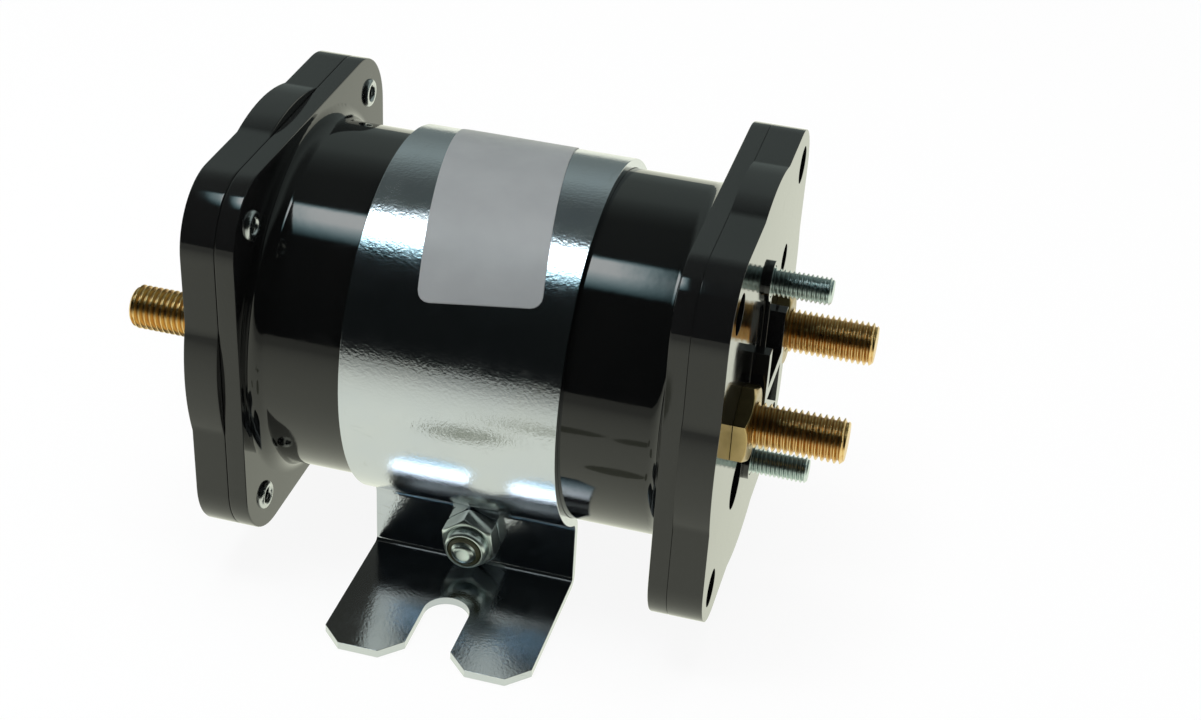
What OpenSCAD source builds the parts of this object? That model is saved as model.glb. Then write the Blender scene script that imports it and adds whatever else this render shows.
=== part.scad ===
// Double-throw DC contactor (golf cart solenoid) with a strap foot.
// X runs along the coil, Z is up, and the feet stand on the plane Z = 0.
// The origin is midway between the feet, under the middle of the body.

/* [Body] */
// Outer diameter of the moulded tube
body_d = 63.5; // [62:0.1:66]
// Wall of the moulded tube
body_wall = 3.2; // [2.6:0.1:3.4]
// Side of the square end flanges
flange_side = 70.8; // [70:0.1:74]
// Thickness of each end flange
flange_t = 3.45; // [3:0.05:4.5]
// Radius of the flange and cap corners
corner_r = 12; // [10:0.1:13]
// Distance between the outer faces of the two flanges
body_len = 80.1; // [80:0.1:84]
// Radius of the fillet where the tube meets a flange
root_r = 2.8; // [1:0.1:3]

/* [End caps] */
// Thickness of each end cap
cap_t = 6.2; // [5.6:0.1:7]
// Radius of the round lobes that swell past the square outline
lobe_r = 37; // [36.6:0.1:38]
// Spacing of the rivets along both sides of the square
rivet_spacing = 55.26; // [54.5:0.02:56]
// Diameter of the counterbore over each rivet
rivet_recess_d = 6.8; // [6.4:0.1:7.4]
// Depth of the counterbore over each rivet
rivet_recess_h = 3; // [2:0.1:3.4]
// Height of the barrier between the power studs
barrier_h = 3; // [1.5:0.1:4]
// Height of the bosses round the coil studs and of the ribs that lead to them
boss_h = 0.9; // [0.5:0.1:1.5]

/* [Terminals] */
// Major diameter of the power studs
power_stud_d = 7.94; // [7.9:0.01:8]
// Distance between the two power studs of one end
power_spacing = 32.6; // [32:0.1:34]
// How far a power stud stands out of the cap
power_reach = 18.7; // [15:0.1:22]
// Width across the flats of the thin nut on a power stud
power_nut_af = 12.7; // [12:0.1:13]
// Height of the thin nut on a power stud
power_nut_h = 2.7; // [2:0.1:4]
// Major diameter of the coil studs
coil_stud_d = 4.83; // [4.7:0.01:4.9]
// Distance between the two coil studs
coil_spacing = 37.4; // [36.8:0.1:37.8]
// How far a coil stud stands out of the cap
coil_reach = 11.3; // [9:0.1:14]

/* [Strap bracket] */
// Thickness of the strap's sheet
sheet_t = 1.6; // [1.4:0.1:1.7]
// Width of the strap along the body
strap_w = 38.4; // [34:0.1:42]
// Middle of the strap along the body
strap_x = -0.5; // [-3:0.1:3]
// Height of the body's axis over the mounting plane
axis_h = 44; // [43.5:0.1:46]
// Distance from the middle to the outer face of each neck
neck_y = 15.48; // [15:0.01:17]
// Distance from the middle to the tip of each foot
foot_reach = 45.6; // [44:0.1:50]
// Distance between the centres of the two foot slots
slot_spacing = 63.5; // [62:0.1:65]
// Width of the foot slots
slot_w = 8.4; // [7:0.1:9]
// Corner cuts on the foot prongs
prong_cut = 3.8; // [2:0.1:4.5]

/* [Movement] */
// Stroke of the plunger
stroke = 3.6; // [3:0.1:4]
// Part of the stroke taken up by the contact springs
overtravel = 1; // [0.6:0.1:1.2]

/* [Label] */
// Length of the blank label round the strap
label_len = 47.6; // [30:0.1:60]
// Width of the blank label
label_w = 21.2; // [16:0.1:24]
// Slant of the label on the strap, in degrees
label_slant = 7; // [0:0.5:8]

/* [Hidden] */
$fn = 72;

body_r = body_d / 2;
bore_r = body_r - body_wall;
cap_in = body_len / 2;
cap_out = cap_in + cap_t;
rivet_at = rivet_spacing / 2;
power_y = power_spacing / 2;
coil_z = coil_spacing / 2;
fit_gap = 0.1;
slip = 0.05;
run_gap = 0.08;
tight = 0.02;
cut_over = 1;

// Tubular rivets through a flange and its cap
rivet_barrel_r = 2;
rivet_hole_r = 1.3;
rivet_roll_r = 2.65;
rivet_roll_h = 0.75;
rivet_flat_r = 3;
rivet_flat_h = 0.5;

// Coil pack between the skirts of the two caps
can_half = 22;
can_r = bore_r - slip;
can_wall = 2;
plate_t = 3;
bobbin_half = can_half - plate_t;
bobbin_flange_t = 1.5;
bobbin_room = 0.5;
bobbin_hub_t = 1.3;
bobbin_flange_r = can_r - can_wall - bobbin_room;
winding_r = bobbin_flange_r - 2;
skirt_r = bore_r - fit_gap;
skirt_wall = 2.7;

// Coil studs inside the cap, and the leads that run to them
coil_collar_t = 2;
coil_collar_r = 4.5;
coil_stud_inner = 5.2;
coil_inner_r = 2.08;
coil_knurl_r = 2.7;
coil_nut_h = 3.2;
coil_nut_af = 9.53;
tongue_t = 0.6;
tongue_r = 4.4;
lead_z = 24.5;
lead_w = 3;
lead_t = 0.5;
lead_room = 0.5;

// Magnetic core, plunger and rod
sleeve_out_r = 10.25;
sleeve_in_r = 9.65;
plunger_r = sleeve_in_r - run_gap;
plunger_left = -20;
core_left = 6;
plunger_right = core_left - stroke;
rod_r = 3;
rod_end_r = 2.5;
rod_shoulder_left = -26;
rod_shoulder_right = 22.6;
spring_pocket_r = 5.5;
spring_pocket_plunger = 4;
spring_pocket_core = 8;
rod_room = 0.5;

// Shank of the power studs: knurled in the cap and necked down under the nut
power_knurl_r = 4.2;
power_root_r = 3.4;

// Contacts: heads of the power studs and the bars that bridge them
head_t = 3.2;
head_side = 13;
contact_face = cap_in - head_t;
bridge_t = 3;
bridge_len = 44;
bridge_w = 14;
contact_gap = stroke - overtravel;
left_bridge_x = -contact_face;
right_bridge_x = contact_face - contact_gap - bridge_t;
bush_flange_t = 1.2;
bush_flange_r = 6;
bush_neck_r = 4;
bush_bore_r = rod_end_r + run_gap;
clip_t = 0.8;
clip_r = 4.3;
clip_groove_r = 2;
clip_play = 0.05;
clip_mouth = 2.8;
rod_tail = 1.3;
left_clip_x = left_bridge_x - bush_flange_t - overtravel - clip_play - clip_t;
right_clip_x = right_bridge_x + bridge_t + bush_flange_t;
rod_left = left_clip_x - rod_tail;
rod_right = right_clip_x + clip_t + rod_tail;
rod_pocket_r = 7;
rod_pocket_h = 3;
seat_t = 1;
seat_r = 5.6;

// Springs: radius of the coil's middle line, wire and turns
spring_wire_r = 0.45;
return_spring_r = 4.3;
return_turns = 6;
contact_spring_r = 4.1;
contact_turns = 4;

// Strap bracket
strap_gap = 0.05;
strap_in_r = body_r + strap_gap;
strap_out_r = strap_in_r + sheet_t;
neck_bend_r = 3;
foot_bend_r = 0.9;
neck_bend_y = neck_y + neck_bend_r;
neck_bend_drop = sqrt(pow(strap_out_r + neck_bend_r, 2) - pow(neck_bend_y, 2));
neck_bend_z = axis_h - neck_bend_drop;
bolt_d = 4.83;
bolt_gap = 0.2;
bolt_z = axis_h - strap_out_r - bolt_d / 2 - bolt_gap;
bolt_hole_d = 5.3;
bolt_reach = 7.5;
bolt_head_d = 9.2;
bolt_head_h = 3.2;
driver_slot = 1.2;
nut_af = 9.53;
nut_hex_h = 4.2;
nut_collar_r = 4;
nut_h = 6.3;

// Moulded details of the cap's outer face
wall_y = 7.4;
wall_t = 2.4;
wall_half = 9.3;
boss_r = 3.6;
rib_t = 1;
sink = 0.5;
round_recesses = [[17.5, 13.6, 2.8], [-11.8, -15.9, 4.9]];
recess_h = 2;

// Label
label_t = 0.15;
label_corner = 2;
label_mid_angle = 103;

// Puts its children on the body's axis.
module on_axis() {
    translate([0, 0, axis_h]) children();
}

// Turns a solid of revolution from the Z axis to the X axis.
module turn_to_x(x) {
    translate([x, 0, 0]) rotate([0, 90, 0]) children();
}

// Extrudes an outline drawn in Y and Z along X.
module extrude_x(x, length) {
    translate([x, 0, 0]) rotate([90, 0, 90]) linear_extrude(height = length) children();
}

// Cylinder, tube and hexagon that start at x and run along +X.
module disc_x(x, length, r) {
    turn_to_x(x) cylinder(h = length, r = r);
}

// Cutting cylinder that runs past both ends.
module bore_x(x, length, r) {
    disc_x(x - cut_over, length + 2 * cut_over, r);
}

module tube_x(x, length, r_out, r_in) {
    difference() {
        disc_x(x, length, r_out);
        bore_x(x, length, r_in);
    }
}

module hex_x(x, length, across_flats, turn) {
    turn_to_x(x) rotate([0, 0, turn]) cylinder(h = length, d = across_flats / cos(30), $fn = 6);
}

// Repeats its children at the four corners of a square in Y and Z.
module at_corners(reach) {
    for (y = [-reach, reach])
        for (z = [-reach, reach])
            translate([0, y, z]) children();
}

module rounded_square(side, r) {
    square([side - 2 * r, side], center = true);
    square([side, side - 2 * r], center = true);
    for (y = [-1, 1])
        for (z = [-1, 1])
            translate([y * (side / 2 - r), z * (side / 2 - r)]) circle(r = r);
}

// Moulded tube with a square flange at each end and a fillet at each root.
module body_shell() {
    color("#151515") on_axis() difference() {
        union() {
            disc_x(-cap_in, body_len, body_r);
            for (side = [-1, 1])
                mirror([side < 0 ? 1 : 0, 0, 0]) {
                    extrude_x(cap_in - flange_t, flange_t) rounded_square(flange_side, corner_r);
                    turn_to_x(cap_in - flange_t - root_r) rotate_extrude() root_fillet();
                }
        }
        bore_x(-cap_in, body_len, bore_r);
        for (x = [-cap_in, cap_in - flange_t])
            at_corners(rivet_at) bore_x(x, flange_t, rivet_barrel_r + fit_gap);
    }
}

// Cross-section of the fillet: a corner block less a quarter circle.
module root_fillet() {
    difference() {
        translate([body_r - cut_over, 0]) square([root_r + cut_over, root_r + sink]);
        translate([body_r + root_r, 0]) circle(r = root_r);
    }
}

// One end cap at +X: square plate with lobes, inner skirt and outer barrier.
module cap(coil_terminals) {
    difference() {
        union() {
            extrude_x(cap_in, cap_t) {
                rounded_square(flange_side, corner_r);
                circle(r = lobe_r, $fn = 120);
            }
            tube_x(can_half, cap_in - can_half + sink, skirt_r, skirt_r - skirt_wall);
            barrier();
            if (coil_terminals) coil_bosses();
        }
        disc_x(cap_in - cut_over, rod_pocket_h + cut_over, rod_pocket_r);
        for (y = [-power_y, power_y])
            translate([0, y, 0]) bore_x(cap_in, cap_t, power_knurl_r + fit_gap);
        at_corners(rivet_at) {
            bore_x(cap_in, cap_t, rivet_barrel_r + fit_gap);
            disc_x(cap_out - rivet_recess_h, rivet_recess_h + cut_over, rivet_recess_d / 2);
        }
        if (coil_terminals) {
            for (z = [-coil_z, coil_z])
                translate([0, 0, z]) bore_x(cap_in, cap_t + boss_h, coil_knurl_r + fit_gap);
            for (recess = round_recesses)
                translate([0, recess[0], recess[1]])
                    disc_x(cap_out - recess_h, recess_h + cut_over, recess[2]);
        }
    }
}

// Two walls beside the power studs, joined by a web.
module barrier() {
    for (side = [-1, 1])
        translate([cap_out - sink, side * wall_y - wall_t / 2, -wall_half])
            cube([barrier_h + sink, wall_t, 2 * wall_half]);
    translate([cap_out - sink, -wall_y, -wall_t / 2])
        cube([barrier_h + sink, 2 * wall_y, wall_t]);
}

// A round boss at each coil stud, and the low rib between them.
module coil_bosses() {
    for (z = [-coil_z, coil_z])
        translate([0, 0, z]) disc_x(cap_out - sink, boss_h + sink, boss_r);
    translate([cap_out - sink, -rib_t / 2, -coil_z])
        cube([boss_h + sink, rib_t, coil_spacing]);
}

module left_cap() {
    color("#1a1a1a") on_axis() mirror([1, 0, 0]) cap(false);
}

module right_cap() {
    color("#1a1a1a") on_axis() cap(true);
}

// Tubular rivet: a barrel, a rolled head on the flange and a flat head in the cap.
module rivet() {
    grip = flange_t + cap_t - rivet_recess_h;
    turn_to_x(cap_in - flange_t) rotate_extrude() {
        translate([rivet_hole_r, -rivet_roll_h / 2])
            square([rivet_barrel_r - rivet_hole_r, grip + rivet_roll_h]);
        translate([rivet_hole_r, grip])
            square([rivet_flat_r - rivet_hole_r, rivet_flat_h]);
        intersection() {
            translate([(rivet_hole_r + rivet_roll_r) / 2, 0])
                circle(r = rivet_roll_h);
            translate([rivet_hole_r, -rivet_roll_h])
                square([rivet_roll_r - rivet_hole_r, rivet_roll_h]);
        }
    }
}

module left_rivets() {
    color("#c9ced3") on_axis() mirror([1, 0, 0]) at_corners(rivet_at) rivet();
}

module right_rivets() {
    color("#c9ced3") on_axis() at_corners(rivet_at) rivet();
}

// Copper stud at +X: a square contact head inside the cap, a knurled part in the cap,
// a neck where the thin nut is screwed on and the free shank.
module power_stud() {
    chamfer = 0.7;
    r = power_stud_d / 2;
    neck_at = sink + cap_t;
    shank_at = neck_at + power_nut_h;
    tip_at = neck_at + power_reach;
    translate([contact_face, -head_side / 2, -head_side / 2])
        cube([head_t, head_side, head_side]);
    turn_to_x(cap_in - sink) rotate_extrude() polygon([
        [0, 0],
        [power_knurl_r, 0],
        [power_knurl_r, neck_at],
        [power_root_r, neck_at],
        [power_root_r, shank_at],
        [r, shank_at],
        [r, tip_at - chamfer],
        [r - chamfer, tip_at],
        [0, tip_at]
    ]);
}

module power_stud_pair() {
    for (y = [-power_y, power_y]) translate([0, y, 0]) power_stud();
}

module left_power_studs() {
    color("#c08a4a") on_axis() mirror([1, 0, 0]) power_stud_pair();
}

module right_power_studs() {
    color("#c08a4a") on_axis() power_stud_pair();
}

// Thin hex nuts that hold the power studs, chamfered on the outer side.
module stud_nut_pair() {
    chamfer_h = 0.5;
    for (y = [-power_y, power_y])
        translate([0, y, 0]) difference() {
            intersection() {
                hex_x(cap_out, power_nut_h, power_nut_af, 26.6);
                turn_to_x(cap_out) rotate_extrude() polygon([
                    [0, 0],
                    [power_nut_af, 0],
                    [power_nut_af, power_nut_h - chamfer_h],
                    [power_nut_af / 2 + 1, power_nut_h - chamfer_h],
                    [power_nut_af / 2, power_nut_h],
                    [0, power_nut_h]
                ]);
            }
            bore_x(cap_out, power_nut_h, power_root_r + slip);
        }
}

module left_stud_nuts() {
    color("#b98a45") on_axis() mirror([1, 0, 0]) stud_nut_pair();
}

module right_stud_nuts() {
    color("#b98a45") on_axis() stud_nut_pair();
}

// Zinc-plated studs for the coil leads: a thin inner end for the lead's nut, a collar
// inside the cap, a knurled part up to the boss's top and the free shank.
module coil_studs() {
    chamfer = 0.5;
    r = coil_stud_d / 2;
    collar_end = coil_stud_inner + coil_collar_t;
    shank_at = collar_end + cap_t + boss_h;
    tip_at = collar_end + cap_t + coil_reach;
    color("#b9c0c4") on_axis()
        for (z = [-coil_z, coil_z])
            translate([0, 0, z]) turn_to_x(cap_in - collar_end) rotate_extrude() polygon([
                [0, 0],
                [coil_inner_r, 0],
                [coil_inner_r, coil_stud_inner],
                [coil_collar_r, coil_stud_inner],
                [coil_collar_r, collar_end],
                [coil_knurl_r, collar_end],
                [coil_knurl_r, shank_at],
                [r, shank_at],
                [r, tip_at - chamfer],
                [r - chamfer, tip_at],
                [0, tip_at]
            ]);
}

module coil_stud_nuts() {
    x = cap_in - coil_collar_t - tongue_t - coil_nut_h;
    color("#b9c0c4") on_axis()
        for (z = [-coil_z, coil_z])
            translate([0, 0, z]) difference() {
                hex_x(x, coil_nut_h, coil_nut_af, 0);
                bore_x(x, coil_nut_h, coil_inner_r + slip);
            }
}

module ring(r_in, r_out) {
    difference() {
        circle(r = r_out);
        circle(r = r_in);
    }
}

// Edge view of one leg, from the band down to a foot tip. The line from the
// body's axis to the centre of the upper bend is where band and bend meet.
module strap_leg() {
    foot_out = foot_bend_r + sheet_t;
    foot_bend_y = neck_y + foot_bend_r;
    translate([neck_bend_y, neck_bend_z]) intersection() {
        ring(neck_bend_r, neck_bend_r + sheet_t);
        polygon([[0, 0], [-neck_bend_y / 2, neck_bend_drop / 2], [-neck_bend_y, 0]]);
    }
    translate([neck_y - sheet_t, foot_out]) square([sheet_t, neck_bend_z - foot_out]);
    translate([foot_bend_y, foot_out]) intersection() {
        ring(foot_bend_r, foot_out);
        translate([-foot_out, -foot_out]) square(foot_out);
    }
    translate([foot_bend_y, 0]) square([foot_reach - foot_bend_y, sheet_t]);
}

// Edge view of the whole strap: a ring open at the bottom, and its two legs.
module strap_outline() {
    cut = 1.2;
    translate([0, axis_h]) difference() {
        ring(strap_in_r, strap_out_r);
        polygon([
            [0, 0],
            [-cut * neck_bend_y, -cut * neck_bend_drop],
            [cut * neck_bend_y, -cut * neck_bend_drop]
        ]);
    }
    for (side = [0, 1]) mirror([side, 0]) strap_leg();
}

// Outline of what is cut from one foot, seen from above, with the slot along Y.
module foot_cuts() {
    margin = 2;
    mouth = slot_w / 2 + prong_cut;
    slot_y = slot_spacing / 2;
    translate([0, slot_y]) circle(d = slot_w);
    translate([-slot_w / 2, slot_y]) square([slot_w, foot_reach - slot_y + margin]);
    polygon([
        [-slot_w / 2, foot_reach - prong_cut],
        [slot_w / 2, foot_reach - prong_cut],
        [mouth + margin, foot_reach + margin],
        [-mouth - margin, foot_reach + margin]
    ]);
    for (side = [-1, 1])
        polygon([
            [side * (strap_w / 2 + margin), foot_reach - prong_cut - margin],
            [side * (strap_w / 2 + margin), foot_reach + margin],
            [side * (strap_w / 2 - prong_cut - margin), foot_reach + margin]
        ]);
}

// One folded sheet: the band round the body, two necks and two slotted feet.
module strap_bracket() {
    color("#b4bcc0") difference() {
        extrude_x(strap_x - strap_w / 2, strap_w) strap_outline();
        for (side = [0, 1])
            translate([strap_x, 0, -cut_over]) mirror([0, side, 0])
                linear_extrude(height = sheet_t + 2 * cut_over) foot_cuts();
        translate([strap_x, neck_y + cut_over, bolt_z]) rotate([90, 0, 0])
            cylinder(h = 2 * (neck_y + cut_over), d = bolt_hole_d);
    }
}

// Screw through both necks, with its head on the far side.
module clamp_bolt() {
    chamfer = 0.5;
    r = bolt_d / 2;
    length = 2 * neck_y + bolt_reach;
    color("#c4c9cc") translate([strap_x, neck_y, bolt_z]) {
        rotate([90, 0, 0]) rotate_extrude() polygon([
            [0, -bolt_head_h / 2],
            [r, -bolt_head_h / 2],
            [r, length - chamfer],
            [r - chamfer, length],
            [0, length]
        ]);
        rotate([-90, 0, 0]) difference() {
            pan_head();
            translate([-driver_slot / 2, -bolt_head_d, bolt_head_h - driver_slot])
                cube([driver_slot, 2 * bolt_head_d, driver_slot + cut_over]);
        }
    }
}

module pan_head() {
    edge = 0.8;
    rotate_extrude() {
        square([bolt_head_d / 2 - edge, bolt_head_h]);
        square([bolt_head_d / 2, bolt_head_h - edge]);
        translate([bolt_head_d / 2 - edge, bolt_head_h - edge]) circle(r = edge);
    }
}

// Hex lock nut with a round collar, on the near neck.
module clamp_nut() {
    shoulder = 0.7;
    corner_reach = 0.9;
    crown_in = 0.2;
    mouth = 0.3;
    color("#aab2b6") translate([strap_x, -neck_y, bolt_z]) rotate([90, 0, 0]) difference() {
        union() {
            intersection() {
                cylinder(h = nut_hex_h, d = nut_af / cos(30), $fn = 6);
                rotate_extrude() polygon([
                    [0, 0],
                    [nut_af / 2 + corner_reach, 0],
                    [nut_af / 2 + corner_reach, nut_hex_h - shoulder],
                    [nut_af / 2 - crown_in, nut_hex_h],
                    [0, nut_hex_h]
                ]);
            }
            rotate_extrude() polygon([
                [0, nut_hex_h - sink],
                [nut_collar_r, nut_hex_h - sink],
                [nut_collar_r, nut_h - shoulder],
                [nut_collar_r - shoulder, nut_h],
                [0, nut_h]
            ]);
        }
        translate([0, 0, -cut_over]) cylinder(h = nut_h + 2 * cut_over, d = bolt_d + fit_gap);
        translate([0, 0, nut_h - shoulder])
            cylinder(h = shoulder + cut_over, r = bolt_d / 2 + slip + mouth);
    }
}

// Point of the label's outline: along the body and round the strap, seen square on.
function label_point(u, v) =
    let (x = u * cos(label_slant) + v * sin(label_slant))
    let (arc = v * cos(label_slant) - u * sin(label_slant))
    let (r = strap_out_r + label_t)
        [x, r * sin(arc / r * 180 / PI)];

function label_outline() = [
    for (corner = [[1, 1, 0], [-1, 1, 90], [-1, -1, 180], [1, -1, 270]])
        for (i = [0:4])
            let (a = corner[2] + 90 * i / 4)
                label_point(
                    corner[0] * (label_w / 2 - label_corner) + label_corner * cos(a),
                    corner[1] * (label_len / 2 - label_corner) + label_corner * sin(a)
                )
];

// Blank sticker on the strap: a thin shell cut to the outline of the label.
module label() {
    color("#d9dadb") on_axis() rotate([label_mid_angle, 0, 0])
        intersection() {
            tube_x(-strap_w, 2 * strap_w, strap_out_r + label_t, strap_out_r);
            rotate([-90, 0, 0]) mirror([0, 1, 0])
                linear_extrude(height = 2 * body_r) polygon(label_outline());
        }
}

module steel_can() {
    color("#7d8287") on_axis() tube_x(-can_half, 2 * can_half, can_r, can_r - can_wall);
}

// Steel plate that closes one end of the can round the guide sleeve.
module pole_plate(x, lead_notches) {
    difference() {
        disc_x(x, plate_t, can_r - can_wall - slip);
        bore_x(x, plate_t, sleeve_out_r + slip);
        if (lead_notches) lead_passage(x, plate_t);
    }
}

module left_pole_plate() {
    color("#8a8f94") on_axis() pole_plate(-can_half, false);
}

module right_pole_plate() {
    color("#8a8f94") on_axis() pole_plate(can_half - plate_t, true);
}

// Notches that let the two leads through a plate or flange.
module lead_passage(x, length) {
    for (side = [-1, 1])
        mirror([0, 0, side < 0 ? 1 : 0])
            translate([x - cut_over, -lead_w / 2 - lead_room, lead_z - lead_room])
                cube([length + 2 * cut_over, lead_w + 2 * lead_room, can_r]);
}

// Strips that run out past the winding and end in ring tongues on the coil studs.
module coil_leads() {
    start = bobbin_half - bobbin_flange_t - cut_over;
    tongue_x = cap_in - coil_collar_t - tongue_t;
    color("#b87333") on_axis() for (side = [-1, 1])
        mirror([0, 0, side < 0 ? 1 : 0]) {
            translate([start, -lead_w / 2, lead_z])
                cube([tongue_x + tongue_t - start, lead_w, lead_t]);
            difference() {
                union() {
                    translate([tongue_x, -lead_w / 2, coil_z])
                        cube([tongue_t, lead_w, lead_z + lead_t - coil_z]);
                    translate([0, 0, coil_z]) disc_x(tongue_x, tongue_t, tongue_r);
                }
                translate([0, 0, coil_z])
                    bore_x(tongue_x, tongue_t, coil_inner_r + fit_gap);
            }
        }
}

module coil_bobbin() {
    color("#3a3a38") on_axis() difference() {
        union() {
            disc_x(-bobbin_half, 2 * bobbin_half, sleeve_out_r + bobbin_hub_t);
            for (x = [-bobbin_half, bobbin_half - bobbin_flange_t])
                disc_x(x, bobbin_flange_t, bobbin_flange_r);
        }
        bore_x(-bobbin_half, 2 * bobbin_half, sleeve_out_r + slip);
        lead_passage(bobbin_half - bobbin_flange_t, bobbin_flange_t);
    }
}

module coil_winding() {
    half = bobbin_half - bobbin_flange_t;
    color("#a85a2a") on_axis()
        tube_x(-half, 2 * half, winding_r, sleeve_out_r + bobbin_hub_t + slip);
}

module guide_sleeve() {
    color("#c7a252") on_axis()
        tube_x(-can_half, 2 * can_half, sleeve_out_r, sleeve_in_r);
}

// Fixed core at the pulled-in end, bored for the rod and pocketed for the spring.
module core_stop() {
    color("#83888d") on_axis() difference() {
        disc_x(core_left, can_half - core_left, sleeve_in_r - slip);
        bore_x(core_left, can_half - core_left, rod_r + rod_room);
        disc_x(core_left - cut_over, spring_pocket_core + cut_over, spring_pocket_r);
    }
}

module plunger() {
    edge = 0.6;
    length = plunger_right - plunger_left;
    color("#9a9fa4") on_axis() difference() {
        turn_to_x(plunger_left) rotate_extrude() polygon([
            [rod_r, 0],
            [plunger_r - edge, 0],
            [plunger_r, edge],
            [plunger_r, length - edge],
            [plunger_r - edge, length],
            [rod_r, length]
        ]);
        disc_x(
            plunger_right - spring_pocket_plunger,
            spring_pocket_plunger + cut_over,
            spring_pocket_r
        );
    }
}

// Rod with a thick middle for the plunger and two thinner ends for the bridges.
module plunger_rod() {
    edge = 0.4;
    color("#b0b5b9") on_axis() difference() {
        turn_to_x(0) rotate_extrude() polygon([
            [0, rod_left],
            [rod_end_r - edge, rod_left],
            [rod_end_r, rod_left + edge],
            [rod_end_r, rod_shoulder_left],
            [rod_r, rod_shoulder_left],
            [rod_r, rod_shoulder_right],
            [rod_end_r, rod_shoulder_right],
            [rod_end_r, rod_right - edge],
            [rod_end_r - edge, rod_right],
            [0, rod_right]
        ]);
        for (x = [left_clip_x, right_clip_x])
            tube_x(x, clip_t, rod_end_r + 1, clip_groove_r);
    }
}

// Washers that the contact springs push from, each against a shoulder of the rod.
module spring_seats() {
    color("#b8bdc1") on_axis()
        for (x = [rod_shoulder_left - seat_t, rod_shoulder_right])
            tube_x(x, seat_t, seat_r, rod_end_r + tight);
}

// Retaining clips in the rod's grooves, open on one side.
module rod_clips() {
    color("#6f757a") on_axis()
        for (x = [left_clip_x, right_clip_x])
            difference() {
                tube_x(x, clip_t, clip_r, clip_groove_r + tight);
                translate([x - cut_over, -clip_mouth / 2, 0])
                    cube([clip_t + 2 * cut_over, clip_mouth, clip_r + cut_over]);
            }
}

// Copper bar that joins the two stud heads of one end, round-ended, with a centre hole.
module contact_bridge(x) {
    end_r = 22.6;
    difference() {
        intersection() {
            translate([x, -bridge_len / 2, -bridge_w / 2])
                cube([bridge_t, bridge_len, bridge_w]);
            disc_x(x, bridge_t, end_r);
        }
        bore_x(x, bridge_t, bush_neck_r + slip);
    }
}

module left_contact_bridge() {
    color("#b06a35") on_axis() contact_bridge(left_bridge_x);
}

module right_contact_bridge() {
    color("#b06a35") on_axis() contact_bridge(right_bridge_x);
}

// Insulating top-hat bushing and washer that keep a bridge off the rod.
// The flange faces +X when facing is 1 and -X when it is -1.
module bridge_bushing(x, facing) {
    flange_x = facing > 0 ? x + bridge_t : x - bush_flange_t;
    neck_x = facing > 0 ? x + fit_gap : x - fit_gap;
    washer_x = facing > 0 ? x - bush_flange_t : x + bridge_t;
    difference() {
        union() {
            disc_x(flange_x, bush_flange_t, bush_flange_r);
            disc_x(neck_x, bridge_t, bush_neck_r);
        }
        bore_x(x - bush_flange_t, bridge_t + 2 * bush_flange_t, bush_bore_r);
    }
    tube_x(washer_x, bush_flange_t, bush_flange_r, bush_bore_r);
}

module left_bridge_bushing() {
    color("#5a3b26") on_axis() bridge_bushing(left_bridge_x, -1);
}

module right_bridge_bushing() {
    color("#5a3b26") on_axis() bridge_bushing(right_bridge_x, 1);
}

// Height along a spring whose first and last turns lie closed: t runs from 0 to 1.
function spring_rise(t, turns, length) =
    let (closed_turns = 0.8)
    let (closed = closed_turns / turns)
    let (closed_rise = 2.1 * spring_wire_r * closed_turns)
    let (travel = length - 2 * spring_wire_r)
        spring_wire_r + (t < closed ? t / closed * closed_rise
            : t > 1 - closed ? travel - (1 - t) / closed * closed_rise
            : closed_rise + (t - closed) / (1 - 2 * closed) * (travel - 2 * closed_rise));

// Helical compression spring along X, swept as a ring of points round the wire.
module spring_x(x, length, coil_r, turns) {
    sides = 6;
    steps = 14 * turns;
    points = [
        for (i = [0:steps])
            for (j = [0:sides - 1])
                let (a = 360 * turns * i / steps)
                let (b = 360 * j / sides)
                let (r = coil_r + spring_wire_r * cos(b))
                    [
                        x + spring_rise(i / steps, turns, length) + spring_wire_r * sin(b),
                        r * cos(a),
                        r * sin(a)
                    ]
    ];
    side_faces = [
        for (i = [0:steps - 1])
            for (j = [0:sides - 1])
                let (k = (j + 1) % sides)
                    [i * sides + j, (i + 1) * sides + j, (i + 1) * sides + k, i * sides + k]
    ];
    start_face = [for (j = [0:sides - 1]) j];
    end_face = [for (j = [0:sides - 1]) steps * sides + sides - 1 - j];
    polyhedron(points = points, faces = concat([start_face], [end_face], side_faces));
}

module return_spring() {
    left = plunger_right - spring_pocket_plunger;
    color("#c2c7ca") on_axis()
        spring_x(left, core_left + spring_pocket_core - left, return_spring_r, return_turns);
}

module left_contact_spring() {
    left = left_bridge_x + bridge_t + bush_flange_t;
    color("#c2c7ca") on_axis()
        spring_x(left, rod_shoulder_left - seat_t - left, contact_spring_r, contact_turns);
}

module right_contact_spring() {
    left = rod_shoulder_right + seat_t;
    color("#c2c7ca") on_axis()
        spring_x(left, right_bridge_x - bush_flange_t - left, contact_spring_r, contact_turns);
}

body_shell();
left_cap();
right_cap();
left_rivets();
right_rivets();
left_power_studs();
right_power_studs();
left_stud_nuts();
right_stud_nuts();
coil_studs();
coil_stud_nuts();
strap_bracket();
clamp_bolt();
clamp_nut();
label();
steel_can();
left_pole_plate();
right_pole_plate();
coil_bobbin();
coil_winding();
coil_leads();
guide_sleeve();
core_stop();
plunger();
plunger_rod();
spring_seats();
rod_clips();
return_spring();
left_contact_bridge();
right_contact_bridge();
left_bridge_bushing();
right_bridge_bushing();
left_contact_spring();
right_contact_spring();
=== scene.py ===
import logging
import math
from collections.abc import Sequence
from dataclasses import dataclass, field
from enum import Enum

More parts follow.
